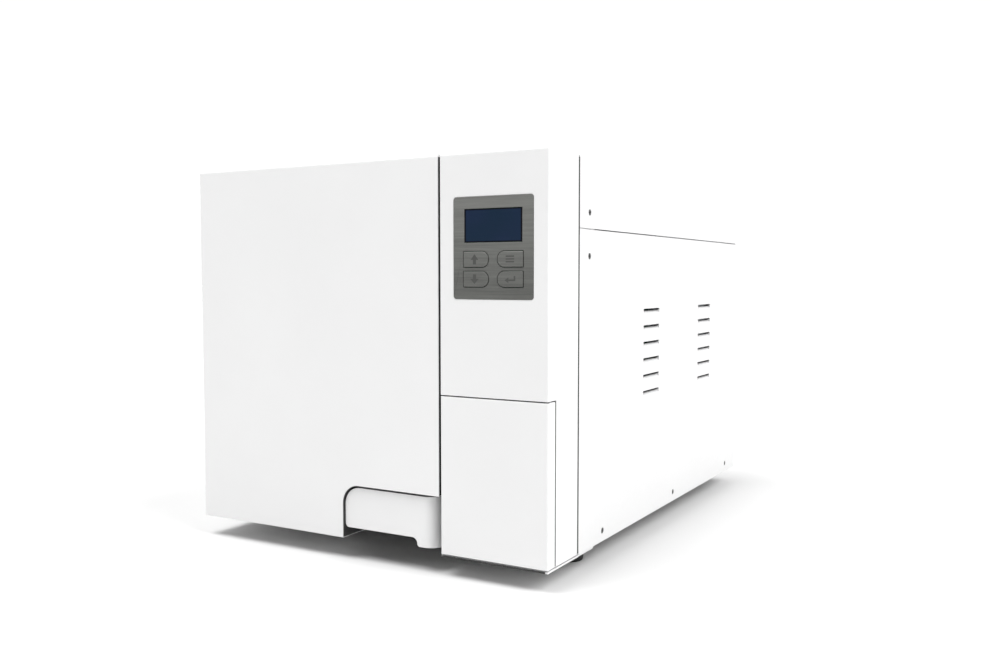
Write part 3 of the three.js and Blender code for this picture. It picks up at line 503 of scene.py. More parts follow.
def moved(obj, x=0, d=0, z=0, mirror=False):
    """A copy of a solid, moved, and mirrored in the machine's middle plane if asked."""
    mesh = obj.data.copy()
    if mirror:
        mesh.transform(Matrix.Scale(-1, 4, (1, 0, 0)))
        mesh.flip_normals()
    mesh.transform(Matrix.Translation((x, d, z)))
    return placed(mesh)


def soften(obj, radius_of, widest, segments=5, clamp=False):
    """Rounds edges. radius_of gives a sharp edge's radius in mm from its middle and direction, or 0."""
    bm = bmesh.new()
    bm.from_mesh(obj.data)
    layer = bm.edges.layers.float.get("bevel_weight_edge") or bm.edges.layers.float.new("bevel_weight_edge")
    for edge in bm.edges:
        if len(edge.link_faces) != 2 or edge.calc_face_angle(0) < math.radians(ROUNDED_ANGLE):
            continue
        a, b = edge.verts[0].co, edge.verts[1].co
        radius = radius_of((a + b) / 2, (b - a).normalized())
        edge[layer] = min(1.0, radius / widest)
    bm.to_mesh(obj.data)
    bm.free()
    bevel = obj.modifiers.new("edge_rounding", "BEVEL")
    bevel.limit_method = "WEIGHT"
    bevel.width = widest
    bevel.segments = segments
    bevel.use_clamp_overlap = clamp
    return obj


def finish(obj, name, body, material, *replaced, slot=None):
    """Puts a solid in the row frame in metres, smooths it and gives it its name, body and material.

    The slot argument, meant for the record's material that the solid counts as, is not used.
    """
    if obj.modifiers:
        baked(obj)
    obj.name = name
    obj.data.name = name
    obj.data.transform(Matrix.Scale(MM, 4) @ Matrix.Translation((0, FRONT, 0)))
    obj.data.shade_smooth()
    obj.data.set_sharp_from_angle(angle=math.radians(SHARP_ANGLE))
    weighted = obj.modifiers.new("face_weighted_normals", "WEIGHTED_NORMAL")
    weighted.keep_sharp = True
    obj.data.materials.clear()
    obj.data.materials.append(MAT[material])
    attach(obj, body)
    if replaced:
        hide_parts(*replaced)
    return obj


def edges_by(rules, default=0.0):
    """A radius_of made of (test, radius) rules, the first that fits winning."""

    def radius_of(middle, direction):
        for test, radius in rules:
            if test(middle, direction):
                return radius
        return default

    return radius_of


def near(value, target, slack=0.2):
    return abs(value - target) < slack


def at(slack=0.2, **planes):
    """A test for an edge whose middle lies on all the planes given as x, d or z."""

    def test(middle, direction):
        place = {"x": middle.x, "d": middle.y, "z": middle.z}
        return all(near(place[axis], value, slack) for axis, value in planes.items())

    return test


# ---------------------------------------------------------------- control column

X0, X1, D0, D1, Z0, Z1 = extent("door_cover")
CX0, CX1, CD0, CD1, CZ0, CZ1 = extent("control_bezel")
VX0, VX1, VD0, VD1, VZ0, VZ1 = extent("service_door")
LX0, LX1, LD0, LD1, LZ0, LZ1 = extent("door_lever")
SKIN = 3.0
CROWN = 4.6  # rounding of the upper front edge
HINGE_X, HINGE_D, _ = joint_at("door_hinge")
LEVER_X, LEVER_D, _ = joint_at("lever_pivot")
FLAP_X, FLAP_D, _ = joint_at("service_door_hinge")
SERVICE_TOP = 180.3
NOTCH_TOP = SERVICE_TOP + 1.2
NOTCH_DEPTH = 17.0
PAN_BOTTOM = extent("base_pan")[4]


def column_shell():
    outer = block(CX0, CX1, 0, CD1, CZ0, CZ1)
    hollow = block(CX0 + SKIN, CX1 - SKIN, SKIN, CD1 + 1, CZ0 + SKIN, CZ1 - SKIN)
    shell = cut(outer, hollow)
    shell = fuse(shell, block(CX0 + 1, CX1 - 1, 1, CD1, NOTCH_TOP, NOTCH_TOP + SKIN))
    notch = block(CX0 - 9, CX1 + 9, -1, NOTCH_DEPTH, CZ0 - 1, NOTCH_TOP)
    seat = prism(rounded(PX0 - 0.3, PZ0 - 0.3, PX1 + 0.3, PZ1 + 0.3, 3.3), "d", -1, 1.3)
    board_hole = block(126, 201, -1, 10, 284, 368)
    pintle_hole = bar("z", (FLAP_X, FLAP_D, 0), 2.5, NOTCH_TOP - 1, NOTCH_TOP + SKIN + 1)
    shell = cut(shell, notch, seat, board_hole, pintle_hole)
    rules = [
        (at(d=0, z=CZ1), CROWN),
        (at(x=CX1, z=CZ1), 3.6),
        (at(d=0, x=CX1), 1.6),
        (at(x=CX0, z=CZ1), 0.8),
        (at(d=0, x=CX0), 0.9),
        (lambda m, v: near(m.z, NOTCH_TOP) and m.y < NOTCH_DEPTH, 0.5),
        (at(d=NOTCH_DEPTH, x=CX1), 0.7),
        (at(d=CD1, x=CX1), 0.5),
        (at(z=CZ0, x=CX1), 0.5),
    ]
    return soften(shell, edges_by(rules), CROWN, 6)


finish(column_shell(), "column_shell", "chassis", "white_moulding", "control_bezel")


def column_shade_strips():
    """Black strips put in the gaps round the column and over the front edge of the pan, as painted shade."""
    beside_door = block(CX0 - 0.9, CX0 + 0.1, 4, 10, NOTCH_TOP + 2, CZ1 - 3)
    beside_recess = block(CX0 - 0.9, CX0 + 0.1, NOTCH_DEPTH + 1, NOTCH_DEPTH + 7, CZ0 + 2, NOTCH_TOP + 2)
    pan_edge = block(CX0 + 0.3, CX1 - 3.5, 1.2, 1.5, PAN_BOTTOM, PAN_BOTTOM + 1.8)
    behind_flap = block(CX1 - 6, CX1 - 0.3, NOTCH_DEPTH - 1.9, NOTCH_DEPTH + 0.1, CZ0 + 1, NOTCH_TOP - 1)
    above_flap = block(CX0 + 0.5, CX1 - 0.5, 0.8, 3.9, SERVICE_TOP + 0.15, NOTCH_TOP + 0.1)
    housing_seam = block(217, CX1 - 0.25, CD1 + 0.1, CD1 + 3.1, CZ0 + 1, CZ1 - 4)
    return gathered(beside_door, beside_recess, pan_edge, behind_flap, housing_seam, above_flap)


# the strips are painted shade in the gaps and along the pan's front edge
finish(column_shade_strips(), "column_shade_strips", "chassis", "painted_shade_black", slot="black_moulding")


def service_cover():
    left = VX0
    edge = 1.0
    plan = [(VX1, 0), (VX1, VD1), (left + 14, VD1), (left + 12, 12.5), (left, 12.5)]
    plan += arc(left + edge, edge, edge, 180, 270, 8)
    hollow = block(left + 2.2, VX1 - SKIN, SKIN, VD1 + 1, CZ0 + SKIN, SERVICE_TOP - SKIN)
    cover = cut(prism(plan, "z", CZ0, SERVICE_TOP), hollow)
    rules = [
        (at(d=0, x=VX1), 1.8),
        (lambda m, v: near(m.z, SERVICE_TOP) and m.y < VD1 - 1 and m.x > VX1 - 1, 1.0),
        (at(z=SERVICE_TOP, d=0), 1.0),
        (at(z=CZ0, d=0), 1.0),
        (at(z=CZ0, x=VX1), 1.0),
        (at(z=CZ0, x=left), 1.2),
        (at(d=VD1, x=VX1), 0.5),
    ]
    soften(cover, edges_by(rules), 1.8, 5)
    baked(cover)
    rib_left = [left + 16 + i * 24 for i in range(4)]
    ribs = [block(x, x + 1.6, 2.6, 8, CZ0 + 2.6, SERVICE_TOP - 2.6) for x in rib_left]
    ends = ((SERVICE_TOP - 1, VZ1), (VZ0, CZ0 + 1))
    pintles = [bar("z", (FLAP_X, FLAP_D, 0), 2, low, high) for low, high in ends]
    catch = block(VX1 - 12, VX1 - 4, 2.6, 12, 96, 99)
    return gathered(cover, *ribs, *pintles, catch)


finish(service_cover(), "service_cover", "service_flap", "white_moulding", "service_door")
# Painted shade: a black strip on the flap's left side darkens the gap beside the lever's hub.
flap_shade_strip = block(VX0 - 0.12, VX0 + 0.1, 1.4, 12, CZ0 + 2, SERVICE_TOP - 2)
finish(flap_shade_strip, "service_edge_shade_strip", "service_flap", "painted_shade_black", slot="black_moulding")


def key_outline(node, side, grow):
    x0, x1, _, _, z0, z1 = extent(node)
    bow, square = 7 + grow, 1.0
    radii = (square, bow, bow, square) if side > 0 else (bow, square, square, bow)
    return rounded(x0 - grow, z0 - grow, x1 + grow, z1 + grow, radii, 12)


KEYS = {
    "key_up": (1, "up_button"),
    "key_down": (1, "down_button"),
    "key_menu": (-1, "menu_button"),
    "key_enter": (-1, "enter_button"),
}


def panel_plate():
    plate = prism(rounded(PX0, PZ0, PX1, PZ1, 3), "d", PD0, PD1)
    holes = [block(SX0 - 0.3, SX1 + 0.3, -3, 3, SZ0 - 0.3, SZ1 + 0.3)]
    holes += [prism(key_outline(node, side, 0.45), "d", -3, 3) for node, (side, _) in KEYS.items()]
    plate = cut(plate, *holes)
    return soften(plate, edges_by([(at(0.05, d=PD0), 0.35)]), 0.35, 3)


finish(panel_plate(), "panel_plate", "chassis", "brushed_plate", "control_plate")


def display_window():
    slab = block(SX0, SX1, SD0, SD1, SZ0, SZ1)
    return soften(slab, edges_by([(at(0.05, d=SD0), 0.15)]), 0.15, 3)


finish(display_window(), "display_glass", "chassis", "display_window", "display_lens")

INK_FRONT = extent("key_up")[2]
CAP_FRONT = INK_FRONT + 0.04


def arrow(cx, cz, up, half, head, tail, stem):
    """An upright arrow: half the head's width, the head's and the tail's length, half the stem's width."""
    s = 1 if up else -1
    points = [(half, 0), (0, head), (-half, 0), (-stem, 0), (-stem, -tail), (stem, -tail), (stem, 0)]
    half_length = (head - tail) / 2
    outline = [(cx + u, cz + s * (v - half_length)) for u, v in points]
    return outline if up else outline[::-1]


def symbol(node, cx, cz):
    """The mark on a key: an arrow, three bars for a menu, or a return arrow."""
    if node == "key_up":
        outlines = [arrow(cx - 1.2, cz, True, 4.3, 5.4, 4.4, 1.7)]
    elif node == "key_down":
        outlines = [arrow(cx - 1.2, cz, False, 4.7, 5.0, 4.2, 1.7)]
    elif node == "key_menu":
        outlines = [rounded(cx - 4.6, cz + v - 0.65, cx + 4.6, cz + v + 0.65, 0.5, 3) for v in (-2.6, 0, 2.6)]
    else:
        bent = [(-5.8, -1), (-1.6, -3.7), (-1.6, -1.8), (5.8, -1.8), (5.8, 3), (4.2, 3), (4.2, -0.2)]
        bent += [(-1.6, -0.2), (-1.6, 1.7)]
        outlines = [[(cx + u, cz + v) for u, v in bent]]
    return [prism(outline, "d", INK_FRONT, CAP_FRONT + 0.05) for outline in outlines]


for node, (side, body) in KEYS.items():
    cx, _, cz = middle(node)
    cap = prism(key_outline(node, side, -0.1), "d", CAP_FRONT, extent(node)[3])
    soften(cap, edges_by([(at(0.01, d=CAP_FRONT), 0.9)]), 0.9, 6)
    finish(cap, node + "_cap", body, "key_film", node)
    finish(gathered(*symbol(node, cx, cz)), node + "_symbol", body, "key_ink", slot="key_film")

# ---------------------------------------------------------------- main door and lever

RECESS_X = LX0 - 1.5
RECESS_Z = LZ1 + 1.5
RECESS_R = 20.0
RECESS_DEPTH = 50.0
LUGS = (60, 376)


def shaft_hole():
    return bar("z", (LEVER_X, LEVER_D, 0), 7.6, RECESS_Z - 1, RECESS_Z + SKIN + 1)


def recess_outline(grow):
    x, z = RECESS_X - grow, RECESS_Z + grow
    return rounded(x, 10, X1 + 20, z, (0, 0, 0, RECESS_R + grow), 20)


def door_shell():
    plan = rounded(X0, 0, X1, D1, (0, 0, 0, 10), 14)
    shell = cut(prism(plan, "z", Z0, Z1), block(X0 + SKIN, X1 - SKIN, SKIN, D1 + 1, Z0 + SKIN, Z1 - SKIN))
    walls = common(
        prism(recess_outline(SKIN), "d", 1, RECESS_DEPTH + SKIN), block(X0, X1 - 1, 1, D1 - 4, Z0 + 1, Z1)
    )
    shell = fuse(shell, walls)
    shell = cut(
        shell,
        prism(recess_outline(0), "d", -2, RECESS_DEPTH),
        shaft_hole(),
        *[block(X0 - 1, X0 + 20, HINGE_D - 9, D1 + 1, z - 1, z + 7) for z in LUGS],
    )
    rules = [
        (at(d=0, z=Z1), CROWN),
        (at(d=0, x=X0), 1.2),
        (at(x=X0, z=Z1), 1.6),
        (at(d=0, x=X1), 1.0),
        (at(x=X1, z=Z1), 0.8),
        (at(d=0, z=Z0), 1.0),
        (at(x=X0, z=Z0), 1.0),
        (at(d=0), 0.4),
    ]
    return soften(shell, edges_by(rules), CROWN, 6)


finish(door_shell(), "door_shell", "door", "white_moulding", "door_cover")


def recess_shade_liner():
    """A thin dark sheet on the walls of the handle recess, set just behind the door's face, as painted shade in
    the recess.
    """
    front, back, thick = 0.7, RECESS_DEPTH - 0.2, 0.45
    lining = cut(
        common(prism(recess_outline(-0.05), "d", front, back), block(X0, X1 - 0.4, 0, D1, Z0 + 0.8, Z1)),
        prism(recess_outline(-thick), "d", front - 1, back - thick),
        shaft_hole(),
    )
    return soften(lining, edges_by([]), 0.1, 1)


finish(recess_shade_liner(), "recess_shade_liner", "door", "painted_shade_lining", slot="black_moulding")
# Painted shade: a black strip on the door's right side darkens the gap between the door and the column.
door_shade_strip = block(X1 - 0.1, X1 + 0.15, 1.2, 8.5, RECESS_Z + 1, Z1 - 4)
finish(door_shade_strip, "door_edge_shade_strip", "door", "painted_shade_black", slot="black_moulding")


def lever_body():
    """The paddle with its hub: a plan along z, cut to the front outline and cleared beside the hub."""
    hub = 15.0
    centre = LD0 + hub
    thick = 6.0
    back = LD0 + thick
    reach = math.sqrt(hub**2 - (centre - back) ** 2)
    start = math.degrees(math.atan2(back - centre, -reach)) % 360
    plan = [(LX0, LD0)] + arc(LEVER_X, centre, hub, -90, start, 72)
    plan += [(LEVER_X - reach - 1.2, back + 0.25), (LEVER_X - reach - 3, back), (LX0, back)]
    bottom = 33.5
    step = 6.0
    skirt_left = LEVER_X - 8
    top = LZ1 - 1.1
    front = arc(LX0 + 4.5, bottom + 4.5, 4.5, 180, 270, 10)
    front += arc(skirt_left - step, bottom - step, step, 90, 0, 12)
    front += arc(skirt_left + 3, LZ0 + 3, 3, 180, 270, 8)
    front += [(LX1 + 5, LZ0), (LX1 + 5, top)]
    front += arc(LX0 + 18.5, top - 18.5, 18.5, 90, 180, 20)
    clearance = block(LEVER_X - 40, skirt_left, LD0 + thick + 0.5, LD1 + 5, LZ0 - 5, bottom)
    body = cut(common(prism(plan, "z", LZ0, top), prism(front, "d", LD0 - 5, LD1 + 5)), clearance)
    return soften(body, edges_by([], 1.0), 1.0, 4, clamp=True)


finish(lever_body(), "lever_body", "lever", "white_moulding", "door_lever")

# ---------------------------------------------------------------- housing

TX0, TX1, TD0, TD1, TZ0, TZ1 = extent("top_cover")
RX0, RX1, RD0, RD1, RZ0, RZ1 = extent("side_panel_right")
SHEET = 1.2
SCREWS = ["upper", "middle", "lower_front", "lower_centre", "lower_rear"]
SCREW_AT = [middle("side_screw_" + label)[1:] for label in SCREWS]
NECK = (114.5, 173.5, 404.5, 455.5)


def roof():
    radius = CROWN
    outer = prism(rounded(TX0, TZ0, TX1, TZ1, (0, 0, radius, radius), 12), "d", TD0, TD1)
    inner = rounded(
        TX0 + SHEET, TZ0 - 5, TX1 - SHEET, TZ1 - SHEET, (0, 0, radius - SHEET, radius - SHEET), 12
    )
    shell = cut(outer, prism(inner, "d", TD0 - 1, TD1 + 1))
    filler = block(*NECK, TZ1 - 10, TZ1 + 1)
    holes = [bar("x", (0, *SCREW_AT[0]), 3.3, side * TX1 - 2, side * TX1 + 2, 24) for side in (-1, 1)]
    shell = cut(shell, filler, *holes)
    rules = [
        (at(0.05, d=TD0), 0.5),
        (at(0.05, d=TD1), 0.5),
        (at(0.05, z=TZ0), 0.4),
        (lambda m, v: near(m.z, TZ1, 0.05) and abs(v.z) < 0.1, 0.4),
    ]
    return soften(shell, edges_by(rules), 0.5, 3)


finish(roof(), "roof_shell", "chassis", "white_paint", "top_cover")

LOUVRE_D = (238.5, 430.5)
LOUVRE_LENGTH = 50.0
LOUVRE_TOP = 261.7
LOUVRE_PITCH = 18.8
LOUVRE_HEIGHT = 5.6
LOUVRE_SLIT = 2.4
LOUVRE_INSET = 4.0


def side_skin():
    """The right-hand side panel. Each louvre is a window with a curved flap and a gusset at each end."""
    inside = RX1 - SHEET
    outline = [(RD0, RZ0), (RD1, RZ0), (RD1, RZ1), (RD0, RZ1)]
    panel = prism(outline, "x", inside, RX1)
    windows, flaps = [], []
    for d in LOUVRE_D:
        for i in range(6):
            top = LOUVRE_TOP - i * LOUVRE_PITCH
            bottom = top - LOUVRE_HEIGHT
            lip = top - LOUVRE_SLIT
            window = rounded(d, bottom, d + LOUVRE_LENGTH, top, (1.6, 1.6, 0.4, 0.4), 4)
            windows.append(prism(window, "x", inside - 2, RX1 + 2))
            outer = []
            for t in [step / 6 for step in range(7)]:
                inset = LOUVRE_INSET * (1 - math.cos(t * math.pi / 2)) ** 0.9
                outer.append((RX1 - inset, bottom - 0.2 + (lip - bottom) * t))
            inner = [(x - 0.9, z) for x, z in reversed(outer)]
            flaps.append(prism(outer + inner, "d", d - 0.3, d + LOUVRE_LENGTH + 0.3))
            for end in (d - 0.9, d + LOUVRE_LENGTH - 0.1):
                gusset = outer + [(RX1 - LOUVRE_INSET, lip), (RX1 - 0.6, lip + 0.5)]
                flaps.append(prism(gusset, "d", end, end + 1.0))
    holes = [bar("x", (0, *spot), 3.3, RX1 - 4, RX1 + 2, 24) for spot in SCREW_AT[1:]]
    panel = cut(panel, *windows, *holes)
    rules = [(at(0.05, x=RX1, d=RD0), 0.5), (at(0.05, x=RX1), 0.35)]
    soften(panel, edges_by(rules), 0.5, 3)
    return gathered(baked(panel), *flaps)


right = side_skin()
left = moved(right, mirror=True)
finish(right, "side_skin_right", "chassis", "white_paint", "side_panel_right")
finish(left, "side_skin_left", "chassis", "white_paint", "side_panel_left")


def screw_head():
    """A countersunk head about the x axis, its face at x = 0, with a cross recess."""
    profile = [(0, -8), (1.7, -8), (1.7, -2.2), (3.0, -0.35), (3.0, -0.1), (2.6, 0), (0, 0)]
    head = turned(profile, "x", (0, 0, 0), 32)
    return cut(head, block(-1.3, 1, -0.38, 0.38, -1.7, 1.7), block(-1.3, 1, -1.7, 1.7, -0.38, 0.38))


head = screw_head()
for side in (1, -1):
    for label, (d, z) in zip(SCREWS, SCREW_AT):
        screw = moved(head) if side == 1 else moved(head, mirror=True)
        screw.data.transform(Matrix.Translation((side * (RX1 - 0.25), d, z)))
        name = "screw_" + label + ("_right" if side == 1 else "_left")
        replaced = ["side_screw_" + label] if side == 1 else []
        finish(screw, name, "chassis", "dark_screw", *replaced, slot="zinc_steel")
drop(head)

BX0, BX1, BD0, BD1, BZ0, BZ1 = extent("rear_panel")
FAN_X, _, FAN_Z = middle("fan_frame")
GRILLE_RADIUS = 52
GRILLE_PITCH = 14
INLET_HOLE = (155.6, 184.4, 47.6, 72.4)
RELIEF = (20, 0, 330)  # axis of the safety valve


def rear_skin():
    """The rear sheet, with a round grille of slots, the mains inlet's cut-out and the valve's hole."""
    plate = prism(rounded(BX0, BZ0, BX1, BZ1, (0, 0, 4, 4)), "d", BD0, BD1)
    front, back = BD0 - 9, BD1 + 5
    holes = []
    for i in range(7):
        offset = (i - 3) * GRILLE_PITCH
        reach = math.sqrt(GRILLE_RADIUS**2 - (abs(offset) + 4) ** 2)
        outline = rounded(FAN_X - reach, FAN_Z + offset - 4, FAN_X + reach, FAN_Z + offset + 4, 3.9, 8)
        holes.append(prism(outline, "d", front, back))
    x0, x1, z0, z1 = INLET_HOLE
    holes.append(block(x0, x1, front, back, z0, z1))
    holes.append(bar("d", RELIEF, 9.5, front, back))
    return cut(plate, *holes)


finish(rear_skin(), "rear_skin", "chassis", "white_paint", "rear_panel")


def rear_screws():
    """Pan-head screws with a cross recess, round the rear sheet and at the corners of the fan."""
    screw = turned([(0, 0), (3.4, 0), (3.4, 0.5), (2.6, 1.6), (1.2, 2), (0, 2)], "d", (0, 0, 0), 32)
    screw = cut(screw, block(-0.4, 0.4, 1.2, 3, -1.8, 1.8), block(-1.8, 1.8, 1.2, 3, -0.4, 0.4))
    spots = [(x, z) for x in (-208, 208) for z in (36, 160, 284, 404)] + [(0, 36), (0, 404)]
    spots += [(FAN_X + a * 55, FAN_Z + b * 55) for a in (-1, 1) for b in (-1, 1)]
    copies = [moved(screw, x, BD1, z) for x, z in spots]
    drop(screw)
    return gathered(*copies)


finish(rear_screws(), "rear_screws", "chassis", "dark_screw", slot="zinc_steel")

FOOT_TOP = extent("foot_front_left")[5]
FOOT_PROFILE = [(0, 1.2), (4, 1.2), (4, 0.0), (11.2, 0.0)] + arc(11.7, 2.2, 2.2, -90, 0, 6)
FOOT_PROFILE += [(13.95, 4), (13.4, 9), (13.2, 12.2), (12.6, 12.8), (12.6, 13.6), (13.2, 14.2)]
FOOT_PROFILE += [(13.0, FOOT_TOP - 0.6), (12.4, FOOT_TOP), (0, FOOT_TOP)]
for node in ("foot_front_left", "foot_front_right", "foot_rear_left", "foot_rear_right"):
    x, d, _ = middle(node)
    foot = turned(FOOT_PROFILE, "z", (x, d, 0), 64)
    finish(foot, node + "_moulded", "chassis", "foot_rubber", node)


def filler_cover():
    x0, x1, d0, d1, z0, z1 = extent("filler_lid")
    hinge = (z1 - z0) / 2
    side = [(d0, z0), (d1 - hinge, z0)] + arc(d1 - hinge, z0 + hinge, hinge, -90, 90, 12) + [(d0, z1)]
    plan = rounded(x0, d0, x1, d1 + 1, (8, 8, 0, 0), 12)
    lid = common(prism(side, "x", x0, x1), prism(plan, "z", z0 - 1, z1 + 1))
    thumb = bar("d", ((x0 + x1) / 2, 0, z0 - 2.2), 7, d0 - 1, d0 + 9, 64)
    lid = cut(lid, thumb)
    rules = [(lambda m, v: near(m.z, z1, 0.05) and m.y < d1 - 6, 1.6), (at(0.05, z=z0), 0.4)]
    return soften(lid, edges_by(rules), 1.6, 5)


finish(filler_cover(), "filler_cover", "filler_flap", "white_moulding", "filler_lid")

# ---------------------------------------------------------------- front frame and chamber

WX0, WX1, WD0, WD1, WZ0, WZ1 = extent("front_frame")
VESSEL = extent("chamber_vessel")
AXIS = axis_through("chamber_vessel")
HOOKS = (86, 350)
HOOK_HEIGHT = 8


def hook_slots(right, front, back):
    return [block(28, right, front, back, z - 3, z + HOOK_HEIGHT + 3) for z in HOOKS]


def bulkhead():
    outer = prism(rounded(WX0, WZ0, WX1, WZ1, (0, 0, 4, 4)), "d", WD1 - 37, WD1)
    hollow = block(WX0 + 1.5, WX1 - 1.5, WD1 - 35, WD1 + 1, WZ0 + 1.5, WZ1 - 1.5)
    chamber_hole = bar("d", AXIS, 138, 60, 80, 128)
    bay_hole = block(108, 213, 60, 80, 26, 178.5)
    board_hole = block(120, 205, 60, 80, 280, 370)
    shell = cut(outer, hollow, chamber_hole, bay_hole, board_hole, *hook_slots(92.5, 60, 80))
    lugs = []
    for z in LUGS:
        outline = arc(HINGE_X, HINGE_D, 6, 180, 360, 24) + [(HINGE_X + 6, 68.5), (HINGE_X - 6, 68.5)]
        lug = prism(outline, "z", z, z + 6)
        lugs.append(cut(lug, bar("z", (HINGE_X, HINGE_D, 0), 4.16, z - 1, z + 7)))
    soften(shell, edges_by([(at(0.05, d=WD1 - 37), 0.5)]), 0.5, 3)
    return gathered(baked(shell), *lugs)


finish(bulkhead(), "bulkhead", "chassis", "white_paint", "front_frame")


def vessel():
    inner, outer = 125.0, 127.0
    start, straight = VESSEL[2], VESSEL[2] + 350
    steps = 14
    angles = [math.pi / 2 * i / steps for i in range(steps + 1)]
    profile = [(inner, start), (outer, start), (outer, straight)]
    profile += [(outer * math.cos(a), straight + 36 * math.sin(a)) for a in angles[1:-1]]
    profile += [(0, straight + 36)]
    back = [(0, straight + 34)]
    back += [(inner * math.cos(a), straight + 34 * math.sin(a)) for a in reversed(angles[1:-1])]
    back += [(inner, straight), (inner, start)]
    front = turned(profile, "d", AXIS, 128, closed=False)
    rear = turned(back, "d", AXIS, 128, closed=False)
    return gathered(front, rear)


finish(vessel(), "vessel_wall", "chassis", "stainless_steel", "chamber_vessel")


def ring(r0, r1, d0, d1, round_by, steps=128):
    section = rounded(r0, d0, r1, d1, round_by, 4)
    return turned(section, "d", AXIS, steps)


FL = extent("chamber_flange")
GA = extent("door_gasket")
PLATE_FRONT = extent("pressure_plate")[2]
finish(ring(127.6, 150, FL[2], FL[3], 0.8), "flange_ring", "chassis", "stainless_steel", "chamber_flange")
seal = [(122, GA[2]), (133, GA[2]), (133, GA[2] + 1.2), (131.6, GA[2] + 1.6), (130.6, GA[3] - 0.5)]
seal += [(129.8, GA[3]), (128.8, GA[3] - 0.2), (127.6, GA[2] + 2.2), (126.4, GA[3] - 0.2), (125.4, GA[3])]
seal += [(124.4, GA[3] - 0.5), (123.4, GA[2] + 1.6), (122, GA[2] + 1.2)]
finish(turned(seal, "d", AXIS, 128), "seal_ring", "door", "silicone_seal", "door_gasket")


def closing_plate():
    """The plate that closes the chamber, pressed with a rim, a groove and a shallow dome."""
    front = [(0, 0), (23, 0), (24, 0.8), (24, 4), (60, 5.2), (126, 7)]
    rim = [(133.5, 7), (134.5, 8), (134.5, 12), (133.8, 13), (121, 13), (118.5, 12.2)]
    groove = [(116, 9.6), (112, 9), (106, 9.2), (101, 10), (96, 10.4)]
    dome = [(60, 10.6), (30, 9.6), (0, 9)]
    profile = [(radius, PLATE_FRONT + d) for radius, d in front + rim + groove + dome]
    return turned(profile, "d", AXIS, 128)


finish(closing_plate(), "closing_plate", "door", "stainless_steel", "pressure_plate")

LN = extent("door_liner")
liner = cut(block(*LN), bar("d", AXIS, 137.4, 50, 70, 128), *hook_slots(95, 50, 70))
soften(liner, edges_by([(at(0.05, d=LN[3]), 0.4)]), 0.4, 3)
finish(liner, "liner_sheet", "door", "zinc_steel", "door_liner")


def perforated(x0, x1, d0, d1, z, across, along, hole, sides=12):
    """A sheet of square cells, each with a round hole."""
    bm = bmesh.new()
    step_x, step_d = (x1 - x0) / across, (d1 - d0) / along
    per_side = sides // 4
    for i in range(across):
        for j in range(along):
            cx, cd = x0 + (i + 0.5) * step_x, d0 + (j + 0.5) * step_d
            rim, edge = [], []
            for k in range(sides):
                a = 2 * math.pi * k / sides + math.pi / 4
                rim.append(bm.verts.new((cx + hole * math.cos(a), cd + hole * math.sin(a), z)))
                side, t = divmod(k, per_side)
                t /= per_side
                u, v = [(1 - 2 * t, 1), (-1, 1 - 2 * t), (-1 + 2 * t, -1), (1, -1 + 2 * t)][side]
                edge.append(bm.verts.new((cx + u * step_x / 2, cd + v * step_d / 2, z)))
            for k in range(sides):
                m = (k + 1) % sides
                bm.faces.new((rim[k], edge[k], edge[m], rim[m]))
    return solid_of(bm)


def thickened(obj, thickness):
    solid = obj.modifiers.new("thickness", "SOLIDIFY")
    solid.thickness = thickness
    solid.offset = 0
    return baked(obj)


T1 = extent("tray_1")


def tray_pan():
    x0, x1 = T1[0], T1[1]
    d0, d1 = T1[3] - 296, T1[3]
    z0, z1 = T1[4], T1[5]
    wall = cut(
        prism(rounded(x0, d0, x1, d1, 6, 6), "z", z0, z1),
        prism(rounded(x0 + 0.9, d0 + 0.9, x1 - 0.9, d1 - 0.9, 5.1, 6), "z", z0 - 1, z1 + 1),
    )
    border = cut(
        prism(rounded(x0 + 0.5, d0 + 0.5, x1 - 0.5, d1 - 0.5, 5.5, 6), "z", z0, z0 + 0.8),
        block(x0 + 12, x1 - 12, d0 + 12, d1 - 12, z0 - 1, z0 + 2),
    )
    floor = thickened(perforated(x0 + 12, x1 - 12, d0 + 12, d1 - 12, z0 + 0.4, 10, 19, 3.4), 0.8)
    lip = prism(rounded(AXIS[0] - 40, d0 - 5, AXIS[0] + 40, d0 + 1, (3, 3, 0, 0), 5), "z", z1 - 1.2, z1)
    bead = prism(arc(d0 - 4.2, z1 - 0.9, 0.8, 0, 360, 12)[:-1], "x", AXIS[0] - 37, AXIS[0] + 37)
    return gathered(wall, border, floor, lip, bead)


pan = tray_pan()
for node in ("tray_1", "tray_2", "tray_3"):
    level = extent(node)[4] - T1[4]
    finish(moved(pan, z=level), node + "_pan", "chassis", "stainless_steel", node)
drop(pan)

K = extent("tray_rack")


def rack():
    parts = []
    levels = [extent(t)[4] - 0.3 for t in ("tray_1", "tray_2", "tray_3")]
    for side in (-1, 1):
        edge = AXIS[0] + side * 86
        inner = edge - side * 1.6
        slots = []
        for i in range(4):
            for level in levels:
                d = K[2] + 26 + i * 68
                slot = rounded(d, level + 16, d + 48, level + 30, 7, 8)
                slots.append(prism(slot, "x", *sorted((edge + side, inner - side))))
        plate = prism(rounded(K[2], K[4], K[3], K[5], 8, 6), "x", *sorted((edge, inner)))
        parts.append(cut(plate, *slots))
        for level in levels:
            parts.append(block(*sorted((inner, AXIS[0] + side * 77)), K[2], K[3], level - 1.6, level))
    for d in (K[2] + 10, K[3] - 30):
        parts.append(block(K[0], K[1], d, d + 20, K[4], K[4] + 1.6))
        parts.append(block(K[0], K[1], d, d + 20, K[5] - 1.6, K[5]))
    return gathered(*parts)


finish(rack(), "rack_frame", "chassis", "stainless_steel", "tray_rack")

# ---------------------------------------------------------------- latch, hinge and service bay

LS = extent("latch_shaft")


